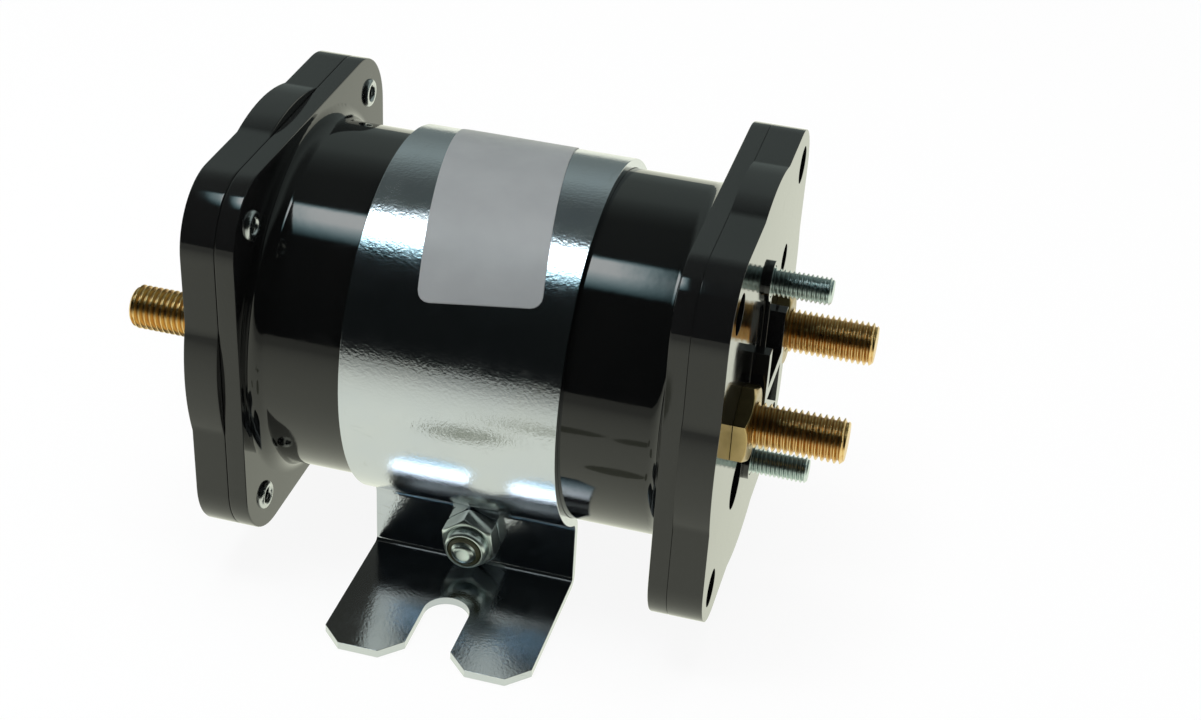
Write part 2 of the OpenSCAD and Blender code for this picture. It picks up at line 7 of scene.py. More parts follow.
import bpy
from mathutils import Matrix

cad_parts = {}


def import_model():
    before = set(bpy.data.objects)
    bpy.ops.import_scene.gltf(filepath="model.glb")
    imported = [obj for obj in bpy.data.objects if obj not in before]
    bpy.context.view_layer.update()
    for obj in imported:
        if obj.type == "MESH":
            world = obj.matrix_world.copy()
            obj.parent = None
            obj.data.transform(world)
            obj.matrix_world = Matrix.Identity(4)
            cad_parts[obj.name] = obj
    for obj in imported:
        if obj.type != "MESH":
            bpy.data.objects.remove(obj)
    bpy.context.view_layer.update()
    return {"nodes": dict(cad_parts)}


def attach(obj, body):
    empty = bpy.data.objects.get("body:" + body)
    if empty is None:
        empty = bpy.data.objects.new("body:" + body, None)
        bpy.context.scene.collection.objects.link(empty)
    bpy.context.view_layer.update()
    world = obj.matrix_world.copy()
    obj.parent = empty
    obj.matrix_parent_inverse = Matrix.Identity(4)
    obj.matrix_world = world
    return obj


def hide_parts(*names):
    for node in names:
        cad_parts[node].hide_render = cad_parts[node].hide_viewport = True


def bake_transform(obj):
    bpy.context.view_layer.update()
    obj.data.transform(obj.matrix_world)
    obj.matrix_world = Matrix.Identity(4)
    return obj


LOG = logging.getLogger("golf_cart_solenoid")

# One millimetre in metres, and one inch in millimetres
MM = 0.001
INCH = 25.4

# Places that several pieces share, in millimetres
AXIS_H = 44.0
CAP_OUT = 46.25
RIVET_AT = 27.63
POWER_STUD_GAP = 32.6

# Distances in millimetres at which two points become one: at a cut, while making, when mending
SLICE_WELD = 0.0001
FINE_WELD = 0.001
WELD = 0.002

# Edges sharper than this many degrees stay sharp on threads and rivets
ROUND_SHADE = 50.0

# Degrees from one point to the next on a small arc
ARC_STEP = 15

Pair = tuple[float, float]
Place = tuple[float, float, float]
Quad = tuple[float, float, float, float]
Colour = tuple[float, float, float]
Rgba = tuple[float, float, float, float]
Value = float | Sequence[float] | bpy.types.NodeSocket

WHITE: Rgba = (1, 1, 1, 1)


class Body(Enum):
    """Bodies of the frame that pieces ride on."""

    HOUSING = "housing"
    PLUNGER_SET = "plunger_set"
    LEFT_BRIDGE = "left_bridge"
    RIGHT_BRIDGE = "right_bridge"


class Slot(Enum):
    """Material slots of the record that new pieces use."""

    MOULDING = "black_moulding"
    EYELET = "eyelet_metal"
    STUD = "stud_copper"
    NUT = "nut_brass"
    HARDWARE = "zinc_hardware"
    STRAP = "zinc_strap"
    SPRING = "spring_steel"


class Facing(Enum):
    """Directions that a turned piece can point in, as its turn about the upright axis."""

    RIGHT = 0.0
    LEFT = math.pi
    NEAR = -math.pi / 2


class End(Enum):
    """The two ends of the solenoid, as the side of the middle that each is on."""

    LEFT = -1
    RIGHT = 1

    @property
    def word(self) -> str:
        """Word that the names of the end's pieces begin with."""
        return self.name.lower()

    @property
    def facing(self) -> Facing:
        """Direction that the end looks in."""
        return Facing[self.name]


class Select(Enum):
    """What edit mode selects."""

    CORNERS = "VERT"
    FACES = "FACE"


class Carving(Enum):
    """What a tool does to the solid that it meets."""

    JOIN = "UNION"
    CUT = "DIFFERENCE"
    KEEP_INSIDE = "INTERSECT"


class Sum(Enum):
    """What a Math node works out."""

    ADD = "ADD"
    SUBTRACT = "SUBTRACT"
    MULTIPLY = "MULTIPLY"
    DIVIDE = "DIVIDE"
    MAXIMUM = "MAXIMUM"
    ABSOLUTE = "ABSOLUTE"
    SINE = "SINE"


# Modelling bench


def metres(place: Sequence[float]) -> tuple[float, ...]:
    """Turns millimetres into metres."""
    return tuple(value * MM for value in place)


def pick(obj: bpy.types.Object) -> None:
    """Selects one object alone and makes it active.

    Args:
        obj: The object to work on.
    """
    if bpy.context.object is not None and bpy.context.object.mode != "OBJECT":
        bpy.ops.object.mode_set(mode="OBJECT")
    bpy.ops.object.select_all(action="DESELECT")
    obj.select_set(True)
    bpy.context.view_layer.objects.active = obj


class Editing:
    """Edit mode on one object, with all of its mesh selected."""

    def __init__(self, obj: bpy.types.Object, select: Select = Select.CORNERS) -> None:
        """Keeps the object to edit and what is selected."""
        self.obj = obj
        self.select = select

    def __enter__(self) -> "Editing":
        """Enters edit mode.

        Returns:
            This object.
        """
        pick(self.obj)
        bpy.ops.object.mode_set(mode="EDIT")
        bpy.ops.mesh.select_mode(type=self.select.value)
        bpy.ops.mesh.select_all(action="SELECT")
        return self

    def __exit__(self, *_: object) -> None:
        """Goes back to object mode."""
        bpy.ops.object.mode_set(mode="OBJECT")


def settle(obj: bpy.types.Object) -> None:
    """Puts an object's place and turn into its mesh."""
    pick(obj)
    bpy.ops.object.transform_apply(location=True, rotation=True, scale=True)


def finish_modifier(obj: bpy.types.Object, modifier: bpy.types.Modifier) -> None:
    """Applies one modifier."""
    pick(obj)
    bpy.ops.object.modifier_apply(modifier=modifier.name)


def close_up(obj: bpy.types.Object) -> None:
    """Merges doubles and points the faces outwards.

    Args:
        obj: The mesh to mend.
    """
    with Editing(obj):
        bpy.ops.mesh.remove_doubles(threshold=WELD * MM)
        bpy.ops.mesh.normals_make_consistent(inside=False)


def name_piece(obj: bpy.types.Object, name: str) -> None:
    """Gives an object and its mesh one name."""
    obj.name = name
    obj.data.name = name


def draw_wire(name: str, points: Sequence[Pair]) -> bpy.types.Object:
    """Draws a chain of edges by extruding one vertex from point to point.

    Args:
        name: Name of the new object.
        points: Distance along X and radius along Y of each point, in millimetres.

    Returns:
        The wire as an object.
    """
    bpy.ops.mesh.primitive_plane_add(size=MM, location=(0, 0, 0))
    obj = bpy.context.object
    name_piece(obj, name)
    with Editing(obj):
        bpy.ops.mesh.merge(type="CENTER")
        bpy.ops.transform.translate(value=(*metres(points[0]), 0))
        for start, end in zip(points, points[1:]):
            step = ((end[0] - start[0]) * MM, (end[1] - start[1]) * MM, 0)
            bpy.ops.mesh.extrude_vertices_move(TRANSFORM_OT_translate={"value": step})
    return obj


def arc(degrees: int) -> list[float]:
    """Angles in radians at which the points of a small arc lie, from nought to its end."""
    return [math.radians(angle) for angle in range(0, degrees + 1, ARC_STEP)]


def place(
    obj: bpy.types.Object, at: Sequence[float], facing: Facing, roll: float = 0.0
) -> bpy.types.Object:
    """Turns a piece modelled along +X and moves it to its place.

    Args:
        obj: The piece.
        at: Place of its origin in millimetres.
        facing: Direction that its +X ends up in.
        roll: Turn about its own axis in degrees.

    Returns:
        The same piece.
    """
    obj.rotation_euler = (math.radians(roll), 0, facing.value)
    obj.location = metres(at)
    settle(obj)
    return obj


def sweep(obj: bpy.types.Object, steps: int, pitch: float = 0.0, turns: int = 1) -> None:
    """Sweeps a wire round the X axis.

    Args:
        obj: The wire.
        steps: Number of faces round the axis.
        pitch: How far each turn moves along the axis, in millimetres.
        turns: Number of turns.
    """
    screw = obj.modifiers.new("sweep", "SCREW")
    screw.axis = "X"
    screw.angle = 2 * math.pi
    screw.screw_offset = pitch * MM
    screw.iterations = turns
    screw.steps = steps
    screw.render_steps = steps
    screw.use_merge_vertices = True
    screw.merge_threshold = FINE_WELD * MM
    finish_modifier(obj, screw)


def spun(name: str, profile: Sequence[Pair], steps: int = 48) -> bpy.types.Object:
    """Spins a profile round the X axis to a closed solid.

    Args:
        name: Name of the new object.
        profile: Points from the axis to the axis, or a ring that ends at its start.
        steps: Number of faces round the axis.

    Returns:
        The solid, along +X from the origin.
    """
    obj = draw_wire(name, profile)
    sweep(obj, steps)
    close_up(obj)
    return obj


def block(name: str, size: Sequence[float], middle: Sequence[float]) -> bpy.types.Object:
    """Adds a block, from which a piece or a tool is made.

    Args:
        name: Name of the new object.
        size: Its lengths along X, Y and Z in millimetres.
        middle: Place of its middle in millimetres.

    Returns:
        The block.
    """
    bpy.ops.mesh.primitive_cube_add(size=MM)
    obj = bpy.context.object
    name_piece(obj, name)
    obj.scale = size
    obj.location = metres(middle)
    settle(obj)
    return obj


def carve(obj: bpy.types.Object, tool: bpy.types.Object, carving: Carving) -> None:
    """Joins, cuts or keeps the common part of two solids, and removes the tool.

    Args:
        obj: The solid that stays.
        tool: The solid that is used up.
        carving: What the tool does.
    """
    modifier = obj.modifiers.new("carve", "BOOLEAN")
    modifier.operation = carving.value
    modifier.solver = "EXACT"
    modifier.object = tool
    finish_modifier(obj, modifier)
    bpy.data.objects.remove(tool)


def soften(obj: bpy.types.Object, width: float, segments: int = 2, angle: float = 35) -> None:
    """Rounds the sharp edges of a piece.

    Args:
        obj: The piece.
        width: Width of the rounding in millimetres.
        segments: Faces across the rounding.
        angle: Edges sharper than this many degrees are rounded.
    """
    modifier = obj.modifiers.new("soften", "BEVEL")
    modifier.width = width * MM
    modifier.segments = segments
    modifier.limit_method = "ANGLE"
    modifier.angle_limit = math.radians(angle)
    finish_modifier(obj, modifier)


def shade(obj: bpy.types.Object, angle: float = 35) -> None:
    """Smooths the shading up to an angle, and keeps large flat faces flat.

    Args:
        obj: The piece.
        angle: Edges sharper than this many degrees stay sharp.
    """
    pick(obj)
    bpy.ops.object.shade_smooth_by_angle(angle=math.radians(angle))
    weight = obj.modifiers.new("flat faces", "WEIGHTED_NORMAL")
    weight.keep_sharp = True
    weight.weight = 100
    finish_modifier(obj, weight)


def copy_moved(obj: bpy.types.Object, shift: Sequence[float]) -> bpy.types.Object:
    """Copies a piece with a mesh of its own.

    Args:
        obj: The piece to copy.
        shift: How far the copy is moved, in millimetres.

    Returns:
        The copy.
    """
    twin = obj.copy()
    twin.data = obj.data.copy()
    bpy.context.scene.collection.objects.link(twin)
    twin.location = metres(shift)
    settle(twin)
    return twin


def join(name: str, parts: Sequence[bpy.types.Object]) -> bpy.types.Object:
    """Joins parts into one object.

    Args:
        name: Name of the joined piece.
        parts: Objects to join, the first of which stays.

    Returns:
        The joined piece.
    """
    pick(parts[0])
    for part in parts[1:]:
        part.select_set(True)
    bpy.ops.object.join()
    joined = bpy.context.object
    name_piece(joined, name)
    return joined


def repeat(first: bpy.types.Object, *shifts: Place) -> bpy.types.Object:
    """Joins a part and its copies, each moved by a shift in millimetres, into one piece."""
    copies = [copy_moved(first, shift) for shift in shifts]
    return join(first.name, [first, *copies])


def bare_copy(node: str, name: str) -> bpy.types.Object:
    """Copies a node of the frame and merges its loose triangles.

    Args:
        node: Name of the node.
        name: Name of the new piece.

    Returns:
        The new piece, with no finish.
    """
    source = bpy.data.objects[node]
    obj = bpy.data.objects.new(name, source.data.copy())
    obj.data.name = name
    obj.data.materials.clear()
    bpy.context.scene.collection.objects.link(obj)
    pick(obj)
    bpy.ops.mesh.customdata_custom_splitnormals_clear()
    with Editing(obj):
        bpy.ops.mesh.remove_doubles(threshold=FINE_WELD * MM)
    return obj


def copy_of_node(
    node: str, name: str, rounding: float, flat: float = 0.4, sharp: float = 22
) -> bpy.types.Object:
    """Copies a node of the frame, joins its flat faces and rounds its edges.

    Args:
        node: Name of the node.
        name: Name of the new piece.
        rounding: Width of the rounded edges in millimetres.
        flat: Faces at less than this many degrees are joined.
        sharp: Edges sharper than this many degrees are rounded.

    Returns:
        The new piece.
    """
    obj = bare_copy(node, name)
    with Editing(obj):
        bpy.ops.mesh.dissolve_limited(angle_limit=math.radians(flat))
    soften(obj, rounding, angle=sharp)
    shade(obj)
    return obj


# Finishes


class Nodes:
    """Short calls for building a node tree."""

    # Places of the colour sockets on a Mix node
    SHARE, FIRST, SECOND, MIXED = 0, 6, 7, 2

    def __init__(self, tree: bpy.types.NodeTree) -> None:
        """Keeps the tree that is built."""
        self.tree = tree

    def add(self, kind: str, **sockets: Value) -> bpy.types.Node:
        """Adds a node and fills or links its inputs.

        Args:
            kind: Node type, as bpy names it.
            **sockets: Input name, with _ for a space, to a value or an output socket.

        Returns:
            The node.
        """
        node = self.tree.nodes.new(kind)
        for key, value in sockets.items():
            self.feed(node, key.replace("_", " "), value)
        return node

    def feed(self, node: bpy.types.Node, key: str | int, value: Value) -> None:
        """Sets an input to a value, or links an output socket to it.

        Args:
            node: The node.
            key: Name or place of the input.
            value: A number, a colour or an output socket.
        """
        if isinstance(value, bpy.types.NodeSocket):
            self.tree.links.new(value, node.inputs[key])
        else:
            node.inputs[key].default_value = value

    def maths(self, what: Sum, a: Value, b: Value = 0.0) -> bpy.types.NodeSocket:
        """Adds a Math node.

        Args:
            what: What it works out.
            a: First number.
            b: Second number, where it takes one.

        Returns:
            The result.
        """
        node = self.tree.nodes.new("ShaderNodeMath")
        node.operation = what.value
        self.feed(node, 0, a)
        self.feed(node, 1, b)
        return node.outputs[0]

    def spread(
        self, value: Value, low: Value, high: Value, to_low: Value, to_high: Value
    ) -> bpy.types.NodeSocket:
        """Maps one range of values to another, held at both ends.

        Args:
            value: The value.
            low: One end of its range.
            high: The other end.
            to_low: What the first end becomes.
            to_high: What the other end becomes.

        Returns:
            The result.
        """
        node = self.tree.nodes.new("ShaderNodeMapRange")
        for key, item in enumerate((value, low, high, to_low, to_high)):
            self.feed(node, key, item)
        return node.outputs[0]

    def mask(self, value: Value, none: Value, full: Value) -> bpy.types.NodeSocket:
        """Nought at one value and one at another, held at both ends."""
        return self.spread(value, none, full, 0.0, 1.0)

    def mix(self, share: Value, first: Value, second: Value) -> bpy.types.NodeSocket:
        """Mixes two colours.

        Args:
            share: Share of the second colour.
            first: First colour.
            second: Second colour.

        Returns:
            The mixed colour.
        """
        node = self.tree.nodes.new("ShaderNodeMix")
        node.data_type = "RGBA"
        self.feed(node, self.SHARE, share)
        self.feed(node, self.FIRST, first)
        self.feed(node, self.SECOND, second)
        return node.outputs[self.MIXED]

    def millimetres(self, squeeze: Place = (1, 1, 1)) -> bpy.types.NodeSocket:
        """Gives Object coordinates in millimetres.

        Args:
            squeeze: Factor by which a pattern gets shorter along each axis.

        Returns:
            The coordinates.
        """
        here = self.tree.nodes.new("ShaderNodeTexCoord")
        scale = self.tree.nodes.new("ShaderNodeMapping")
        self.tree.links.new(here.outputs["Object"], scale.inputs["Vector"])
        scale.inputs["Scale"].default_value = tuple(factor / MM for factor in squeeze)
        return scale.outputs["Vector"]

    def axes(self) -> bpy.types.NodeOutputs:
        """Object coordinates in millimetres, one output for each axis."""
        return self.add("ShaderNodeSeparateXYZ", Vector=self.millimetres()).outputs

    def show(self, surface: bpy.types.Node, output: str = "ShaderNodeOutputMaterial") -> None:
        """Links a surface to a new output node."""
        self.feed(self.tree.nodes.new(output), 0, surface.outputs[0])


def bare_tree(owner: bpy.types.Material | bpy.types.World) -> Nodes:
    """Gives a material or world an empty node tree.

    Args:
        owner: The material or world.

    Returns:
        The tree's builder.
    """
    owner.use_nodes = True
    owner.node_tree.nodes.clear()
    return Nodes(owner.node_tree)


def new_group(
    name: str, inputs: dict[str, float], outputs: Sequence[str]
) -> tuple[bpy.types.NodeTree, Nodes, bpy.types.Node, bpy.types.Node]:
    """Starts a shared node group with number sockets.

    Args:
        name: Name of the group.
        inputs: Input names and their default values.
        outputs: Output names.

    Returns:
        The group, its builder, and its input and output nodes.
    """
    tree = bpy.data.node_groups.new(name, "ShaderNodeTree")
    for key, value in inputs.items():
        socket = tree.interface.new_socket(name=key, in_out="INPUT", socket_type="NodeSocketFloat")
        socket.default_value = value
    for key in outputs:
        tree.interface.new_socket(name=key, in_out="OUTPUT", socket_type="NodeSocketFloat")
    build = Nodes(tree)
    return tree, build, tree.nodes.new("NodeGroupInput"), tree.nodes.new("NodeGroupOutput")


class Effects:
    """Node groups that several finishes share, each built once."""

    # Noise at which soft patches and rubbed places begin and are full
    PATCH: Pair = (0.3, 0.7)
    RUBBED: Pair = (0.56, 0.68)

    # Middle of the noise, along which a scratch runs
    MIDDLE = 0.5

    # Squeeze and seed of the scratches in each direction
    SCRATCH_WAYS: tuple[tuple[Place, float], ...] = (
        ((0.25, 1.2, 1.0), 3.1),
        ((1.1, 0.3, 0.35), 8.7),
    )

    # Size of the rubbed places, as how many fit in the size of a scratch
    RUBS_IN_SCRATCH = 0.8

    # Pointiness at which an edge and a corner begin and are full; edges take a painted highlight,
    # corners painted shade
    EDGE: Pair = (0.51, 0.56)
    CORNER: Pair = (0.49, 0.44)

    def __init__(self) -> None:
        """Builds every group."""
        self.cloud = self._cloud()
        self.grain = self._grain()
        self.scuffs = self._scuffs()
        self.rims = self._rims()

    def _cloud(self) -> bpy.types.NodeTree:
        """Builds soft patches of the given size.

        Returns:
            The group.
        """
        tree, build, given, out = new_group("Soft patches", {"Size": 10.0, "Seed": 0.0}, ["Patch"])
        noise = build.add("ShaderNodeTexNoise", Vector=build.millimetres(), Detail=3.0, Roughness=0.5)
        noise.noise_dimensions = "4D"
        build.feed(noise, "Scale", build.maths(Sum.DIVIDE, 1.0, given.outputs["Size"]))
        build.feed(noise, "W", given.outputs["Seed"])
        build.feed(out, "Patch", build.mask(noise.outputs[0], *self.PATCH))
        return tree

    def _grain(self) -> bpy.types.NodeTree:
        """Builds fine uneven grain of the given size, as a height.

        Returns:
            The group.
        """
        tree, build, given, out = new_group("Fine grain", {"Size": 0.5}, ["Height"])
        scale = build.maths(Sum.DIVIDE, 1.0, given.outputs["Size"])
        noise = build.add("ShaderNodeTexNoise", Vector=build.millimetres(), Detail=2.0, Roughness=0.6)
        build.feed(noise, "Scale", scale)
        build.feed(out, "Height", noise.outputs[0])
        return tree

    def _scuffs(self) -> bpy.types.NodeTree:
        """Builds thin broken scratches in two directions, and rubbed patches.

        Returns:
            The group.
        """
        tree, build, given, out = new_group(
            "Handling marks", {"Size": 3.0, "Width": 0.02, "Seed": 0.0}, ["Scratch", "Rub"]
        )
        scale = build.maths(Sum.DIVIDE, 1.0, given.outputs["Size"])
        lines = []
        for squeeze, seed in self.SCRATCH_WAYS:
            noise = build.add(
                "ShaderNodeTexNoise", Vector=build.millimetres(squeeze), Detail=1.0, Distortion=0.4
            )
            noise.noise_dimensions = "4D"
            build.feed(noise, "Scale", scale)
            build.feed(noise, "W", build.maths(Sum.ADD, given.outputs["Seed"], seed))
            apart = build.maths(Sum.SUBTRACT, noise.outputs[0], self.MIDDLE)
            apart = build.maths(Sum.ABSOLUTE, apart)
            lines.append(build.spread(apart, 0.0, given.outputs["Width"], 1.0, 0.0))
        breaks = build.add("ShaderNodeTexNoise", Vector=build.millimetres(), Detail=2.0)
        breaks.noise_dimensions = "4D"
        build.feed(breaks, "Scale", build.maths(Sum.MULTIPLY, scale, self.RUBS_IN_SCRATCH))
        build.feed(breaks, "W", given.outputs["Seed"])
        rub = build.mask(breaks.outputs[0], *self.RUBBED)
        both = build.maths(Sum.MAXIMUM, *lines)
        build.feed(out, "Scratch", build.maths(Sum.MULTIPLY, both, rub))
        build.feed(out, "Rub", rub)
        return tree

    def _rims(self) -> bpy.types.NodeTree:
        """Builds masks of the mesh's convex edges, for a painted highlight, and of its concave corners,
        for painted shade.

        Returns:
            The group.
        """
        tree, build, _, out = new_group("Edges and corners", {}, ["Edge", "Corner"])
        point = build.add("ShaderNodeNewGeometry").outputs["Pointiness"]
        build.feed(out, "Edge", build.mask(point, *self.EDGE))
        build.feed(out, "Corner", build.mask(point, *self.CORNER))
        return tree


@dataclass(frozen=True)
class Finish:
    """A surface finish: two colours in soft patches, grain, scratches, a painted highlight on edges and
    painted shade in corners.

    Lengths and depths are in millimetres. Scratches, rubbed places, edges and corners have a
    strength from 0 to 1.
    """

    name: str
    colour: Colour
    second: Colour
    metallic: float = 0.0
    rough: Pair = (0.3, 0.4)
    patch_mm: float = 10.0
    grain_mm: float = 0.5
    grain_depth: float = 0.002
    scratch_mm: float = 3.0
    scratch_colour: Colour = (0.5, 0.5, 0.5)
    scratch: float = 0.0
    scratch_rough: float = 0.25
    scratch_depth: float = 0.004
    rub: float = 0.0
    # Painted highlight on convex edges and thread crests, partly edge wear
    edge_colour: Colour = (0.5, 0.5, 0.5)
    edge: float = 0.0
    # Painted shade in concave corners and thread roots
    corner_colour: Colour = (0.02, 0.02, 0.02)
    corner: float = 0.0
    coat: float = 0.0
    coat_rough: float = 0.05
    specular: float = 0.5
    seed: float = 0.0
    ridges_mm: float = 0.0
    ridge_depth: float = 0.0
    gloss_patch: float = 0.27
    gloss_seed: float = 5.0

    def build(self, effects: Effects) -> bpy.types.Material:
        """Builds the material.

        Args:
            effects: The shared node groups.

        Returns:
            The material.
        """
        material = bpy.data.materials.new(self.name)
        build = bare_tree(material)
        marks = self._group(build, effects.scuffs, Size=self.scratch_mm, Seed=self.seed)
        height = self._height(build, effects, marks)
        bump = build.add("ShaderNodeBump", Height=height, Strength=1.0, Distance=MM)
        shader = build.add("ShaderNodeBsdfPrincipled", Metallic=self.metallic)
        build.feed(shader, "Base Color", self._colour(build, effects, marks))
        build.feed(shader, "Roughness", self._roughness(build, effects, marks))
        build.feed(shader, "Normal", bump.outputs[0])
        build.feed(shader, "Specular IOR Level", self.specular)
        build.feed(shader, "Coat Weight", self.coat)
        build.feed(shader, "Coat Roughness", self.coat_rough)
        build.show(shader)
        return material

    def _colour(self, build: Nodes, effects: Effects, marks: bpy.types.Node) -> bpy.types.NodeSocket:
        """Mixes the two colours in patches, with scratches, a painted highlight on edges and painted
        shade in corners.

        Args:
            build: The material's builder.
            effects: The shared node groups.
            marks: The scratches and rubbed places.

        Returns:
            The colour.
        """
        patch = self._group(build, effects.cloud, Size=self.patch_mm, Seed=self.seed)
        rims = self._group(build, effects.rims)
        colour = build.mix(patch.outputs["Patch"], (*self.colour, 1), (*self.second, 1))
        for mask, strength, tint in (
            (marks.outputs["Scratch"], self.scratch, self.scratch_colour),
            (rims.outputs["Edge"], self.edge, self.edge_colour),
            (rims.outputs["Corner"], self.corner, self.corner_colour),
        ):
            if strength > 0:
                share = build.maths(Sum.MULTIPLY, mask, strength)
                colour = build.mix(share, colour, (*tint, 1))
        return colour

    def _roughness(self, build: Nodes, effects: Effects, marks: bpy.types.Node) -> bpy.types.NodeSocket:
        """Makes the gloss uneven, and duller along scratches and on rubbed places.

        Args:
            build: The material's builder.
            effects: The shared node groups.
            marks: The scratches and rubbed places.

        Returns:
            The roughness.
        """
        size = self.patch_mm * self.gloss_patch
        gloss = self._group(build, effects.cloud, Size=size, Seed=self.seed + self.gloss_seed)
        rough = build.spread(gloss.outputs["Patch"], 0.0, 1.0, *self.rough)
        dull = self.scratch_rough * self.scratch
        rough = build.maths(Sum.ADD, rough, build.maths(Sum.MULTIPLY, marks.outputs["Scratch"], dull))
        return build.maths(Sum.ADD, rough, build.maths(Sum.MULTIPLY, marks.outputs["Rub"], self.rub))

    def _height(self, build: Nodes, effects: Effects, marks: bpy.types.Node) -> bpy.types.NodeSocket:
        """Adds up the relief of the grain, the scratches and the ridges.

        Args:
            build: The material's builder.
            effects: The shared node groups.
            marks: The scratches and rubbed places.

        Returns:
            The height in millimetres.
        """
        grain = self._group(build, effects.grain, Size=self.grain_mm)
        height = build.maths(Sum.MULTIPLY, grain.outputs["Height"], self.grain_depth)
        depth = -self.scratch_depth * self.scratch
        height = build.maths(Sum.ADD, height, build.maths(Sum.MULTIPLY, marks.outputs["Scratch"], depth))
        if self.ridge_depth > 0:
            turn = build.maths(Sum.MULTIPLY, build.axes()["X"], 2 * math.pi / self.ridges_mm)
            wave = build.maths(Sum.MULTIPLY, build.maths(Sum.SINE, turn), self.ridge_depth)
            height = build.maths(Sum.ADD, height, wave)
        return height

    @staticmethod
    def _group(build: Nodes, tree: bpy.types.NodeTree, **values: float) -> bpy.types.Node:
        """Places a shared group with its own values.

        Args:
            build: The material's builder.
            tree: The group.
            **values: Input name to its value.

        Returns:
            The group's node.
        """
        node = build.tree.nodes.new("ShaderNodeGroup")
        node.node_tree = tree
        for key, value in values.items():
            node.inputs[key].default_value = value
        return node


# Edge colours in the finishes below are a painted highlight on edges and thread crests, partly edge
# wear.
MOULDING = Finish(
    "Glossy black moulding", (0.0030, 0.0032, 0.0033), (0.0042, 0.0043, 0.0042),
    rough=(0.045, 0.085), patch_mm=16, grain_mm=3.0, grain_depth=0.006, scratch_mm=5,
    scratch_colour=(0.03, 0.03, 0.03), scratch=0.06, rub=0.015,
    edge_colour=(0.02, 0.02, 0.02), edge=0.3, seed=2,
)
ZINC_SHEET = Finish(
    "Bright zinc sheet", (0.425, 0.455, 0.535), (0.455, 0.475, 0.525), metallic=1.0,
    rough=(0.11, 0.17), patch_mm=14, grain_mm=0.55, grain_depth=0.030, scratch_mm=4,
    scratch_colour=(0.26, 0.27, 0.24), scratch=0.25, rub=0.02, edge_colour=(0.72, 0.76, 0.76),
    edge=0.4, seed=1,
)
# Corner colours in the finishes below are painted shade in concave corners and thread roots.
ZINC_HARDWARE = Finish(
    "Zinc hardware", (0.61, 0.72, 0.71), (0.51, 0.60, 0.59), metallic=1.0, rough=(0.28, 0.38),
    patch_mm=3, grain_mm=0.5, grain_depth=0.002, corner=0.7, corner_colour=(0.10, 0.11, 0.11),
    edge_colour=(0.75, 0.78, 0.78), edge=0.4, seed=4,
)
STUD_COPPER = Finish(
    "Golden copper", (0.80, 0.58, 0.27), (0.72, 0.45, 0.18), metallic=1.0, rough=(0.26, 0.38),
    patch_mm=4, grain_mm=0.5, grain_depth=0.001, corner=0.75, corner_colour=(0.20, 0.09, 0.02),
    edge_colour=(0.88, 0.68, 0.34), edge=0.5, seed=6,
)
NUT_BRASS = Finish(
    "Stained brass", (0.36, 0.27, 0.09), (0.20, 0.145, 0.05), metallic=1.0, rough=(0.28, 0.40),
    patch_mm=4, grain_mm=0.5, grain_depth=0.003, corner=0.5, corner_colour=(0.07, 0.05, 0.02),
    edge_colour=(0.7, 0.52, 0.28), edge=0.5, seed=7,
)
EYELET_METAL = Finish(
    "Nickel eyelet", (0.60, 0.62, 0.63), (0.48, 0.50, 0.51), metallic=1.0, rough=(0.18, 0.30),
    patch_mm=2, grain_mm=0.3, grain_depth=0.003, corner=0.5, corner_colour=(0.12, 0.12, 0.12),
    seed=3,
)
LABEL_FILM = Finish(
    "Blank label film", (0.305, 0.315, 0.32), (0.265, 0.275, 0.28), rough=(0.34, 0.42), patch_mm=9,
    grain_mm=1.2, grain_depth=0.006, scratch_mm=6, scratch_colour=(0.2, 0.2, 0.2), scratch=0.15,
    specular=0.3, seed=5,
)
INSERT_RING = Finish(
    "Olive insert ring", (0.036, 0.041, 0.017), (0.058, 0.058, 0.026), rough=(0.35, 0.5),
    patch_mm=2, grain_mm=0.3, grain_depth=0.01, seed=8,
)
SOFT_IRON = Finish(
    "Soft iron", (0.36, 0.37, 0.38), (0.27, 0.28, 0.29), metallic=1.0, rough=(0.32, 0.5),
    patch_mm=6, grain_mm=0.5, grain_depth=0.008, scratch=0.4, seed=9,
)
ROD_STEEL = Finish(
    "Ground steel", (0.55, 0.56, 0.57), (0.47, 0.48, 0.49), metallic=1.0, rough=(0.16, 0.28),
    patch_mm=3, grain_mm=0.3, grain_depth=0.003, scratch_mm=1.5, scratch=0.5, seed=10,
)
SPRING_STEEL = Finish(
    "Spring wire", (0.50, 0.51, 0.53), (0.38, 0.39, 0.42), metallic=1.0, rough=(0.22, 0.34),
    patch_mm=1.5, grain_mm=0.2, grain_depth=0.003, seed=11,
)
SLEEVE_BRASS = Finish(
    "Drawn brass", (0.66, 0.48, 0.20), (0.55, 0.38, 0.14), metallic=1.0, rough=(0.2, 0.34),
    patch_mm=6, grain_mm=0.4, grain_depth=0.003, scratch=0.4, seed=12,
)
CONTACT_COPPER = Finish(
    "Bare copper", (0.66, 0.31, 0.17), (0.48, 0.20, 0.10), metallic=1.0, rough=(0.26, 0.42),
    patch_mm=5, grain_mm=0.4, grain_depth=0.005, scratch=0.5, seed=13,
)
WINDING = Finish(
    "Enamelled wire winding", (0.34, 0.11, 0.03), (0.26, 0.08, 0.02), metallic=0.6,
    rough=(0.18, 0.30), patch_mm=5, grain_mm=0.6, grain_depth=0.004, coat=0.6,
    ridges_mm=0.62, ridge_depth=0.10, seed=14,
)
BOBBIN_NYLON = Finish(
    "Bobbin nylon", (0.045, 0.045, 0.043), (0.060, 0.060, 0.056), rough=(0.38, 0.5), patch_mm=8,
    grain_mm=0.5, grain_depth=0.01, seed=15,
)
BUSHING = Finish(
    "Laminated bushing", (0.14, 0.065, 0.030), (0.20, 0.10, 0.045), rough=(0.4, 0.55), patch_mm=2.5,
    grain_mm=0.25, grain_depth=0.01, seed=16,
)


# Workshop


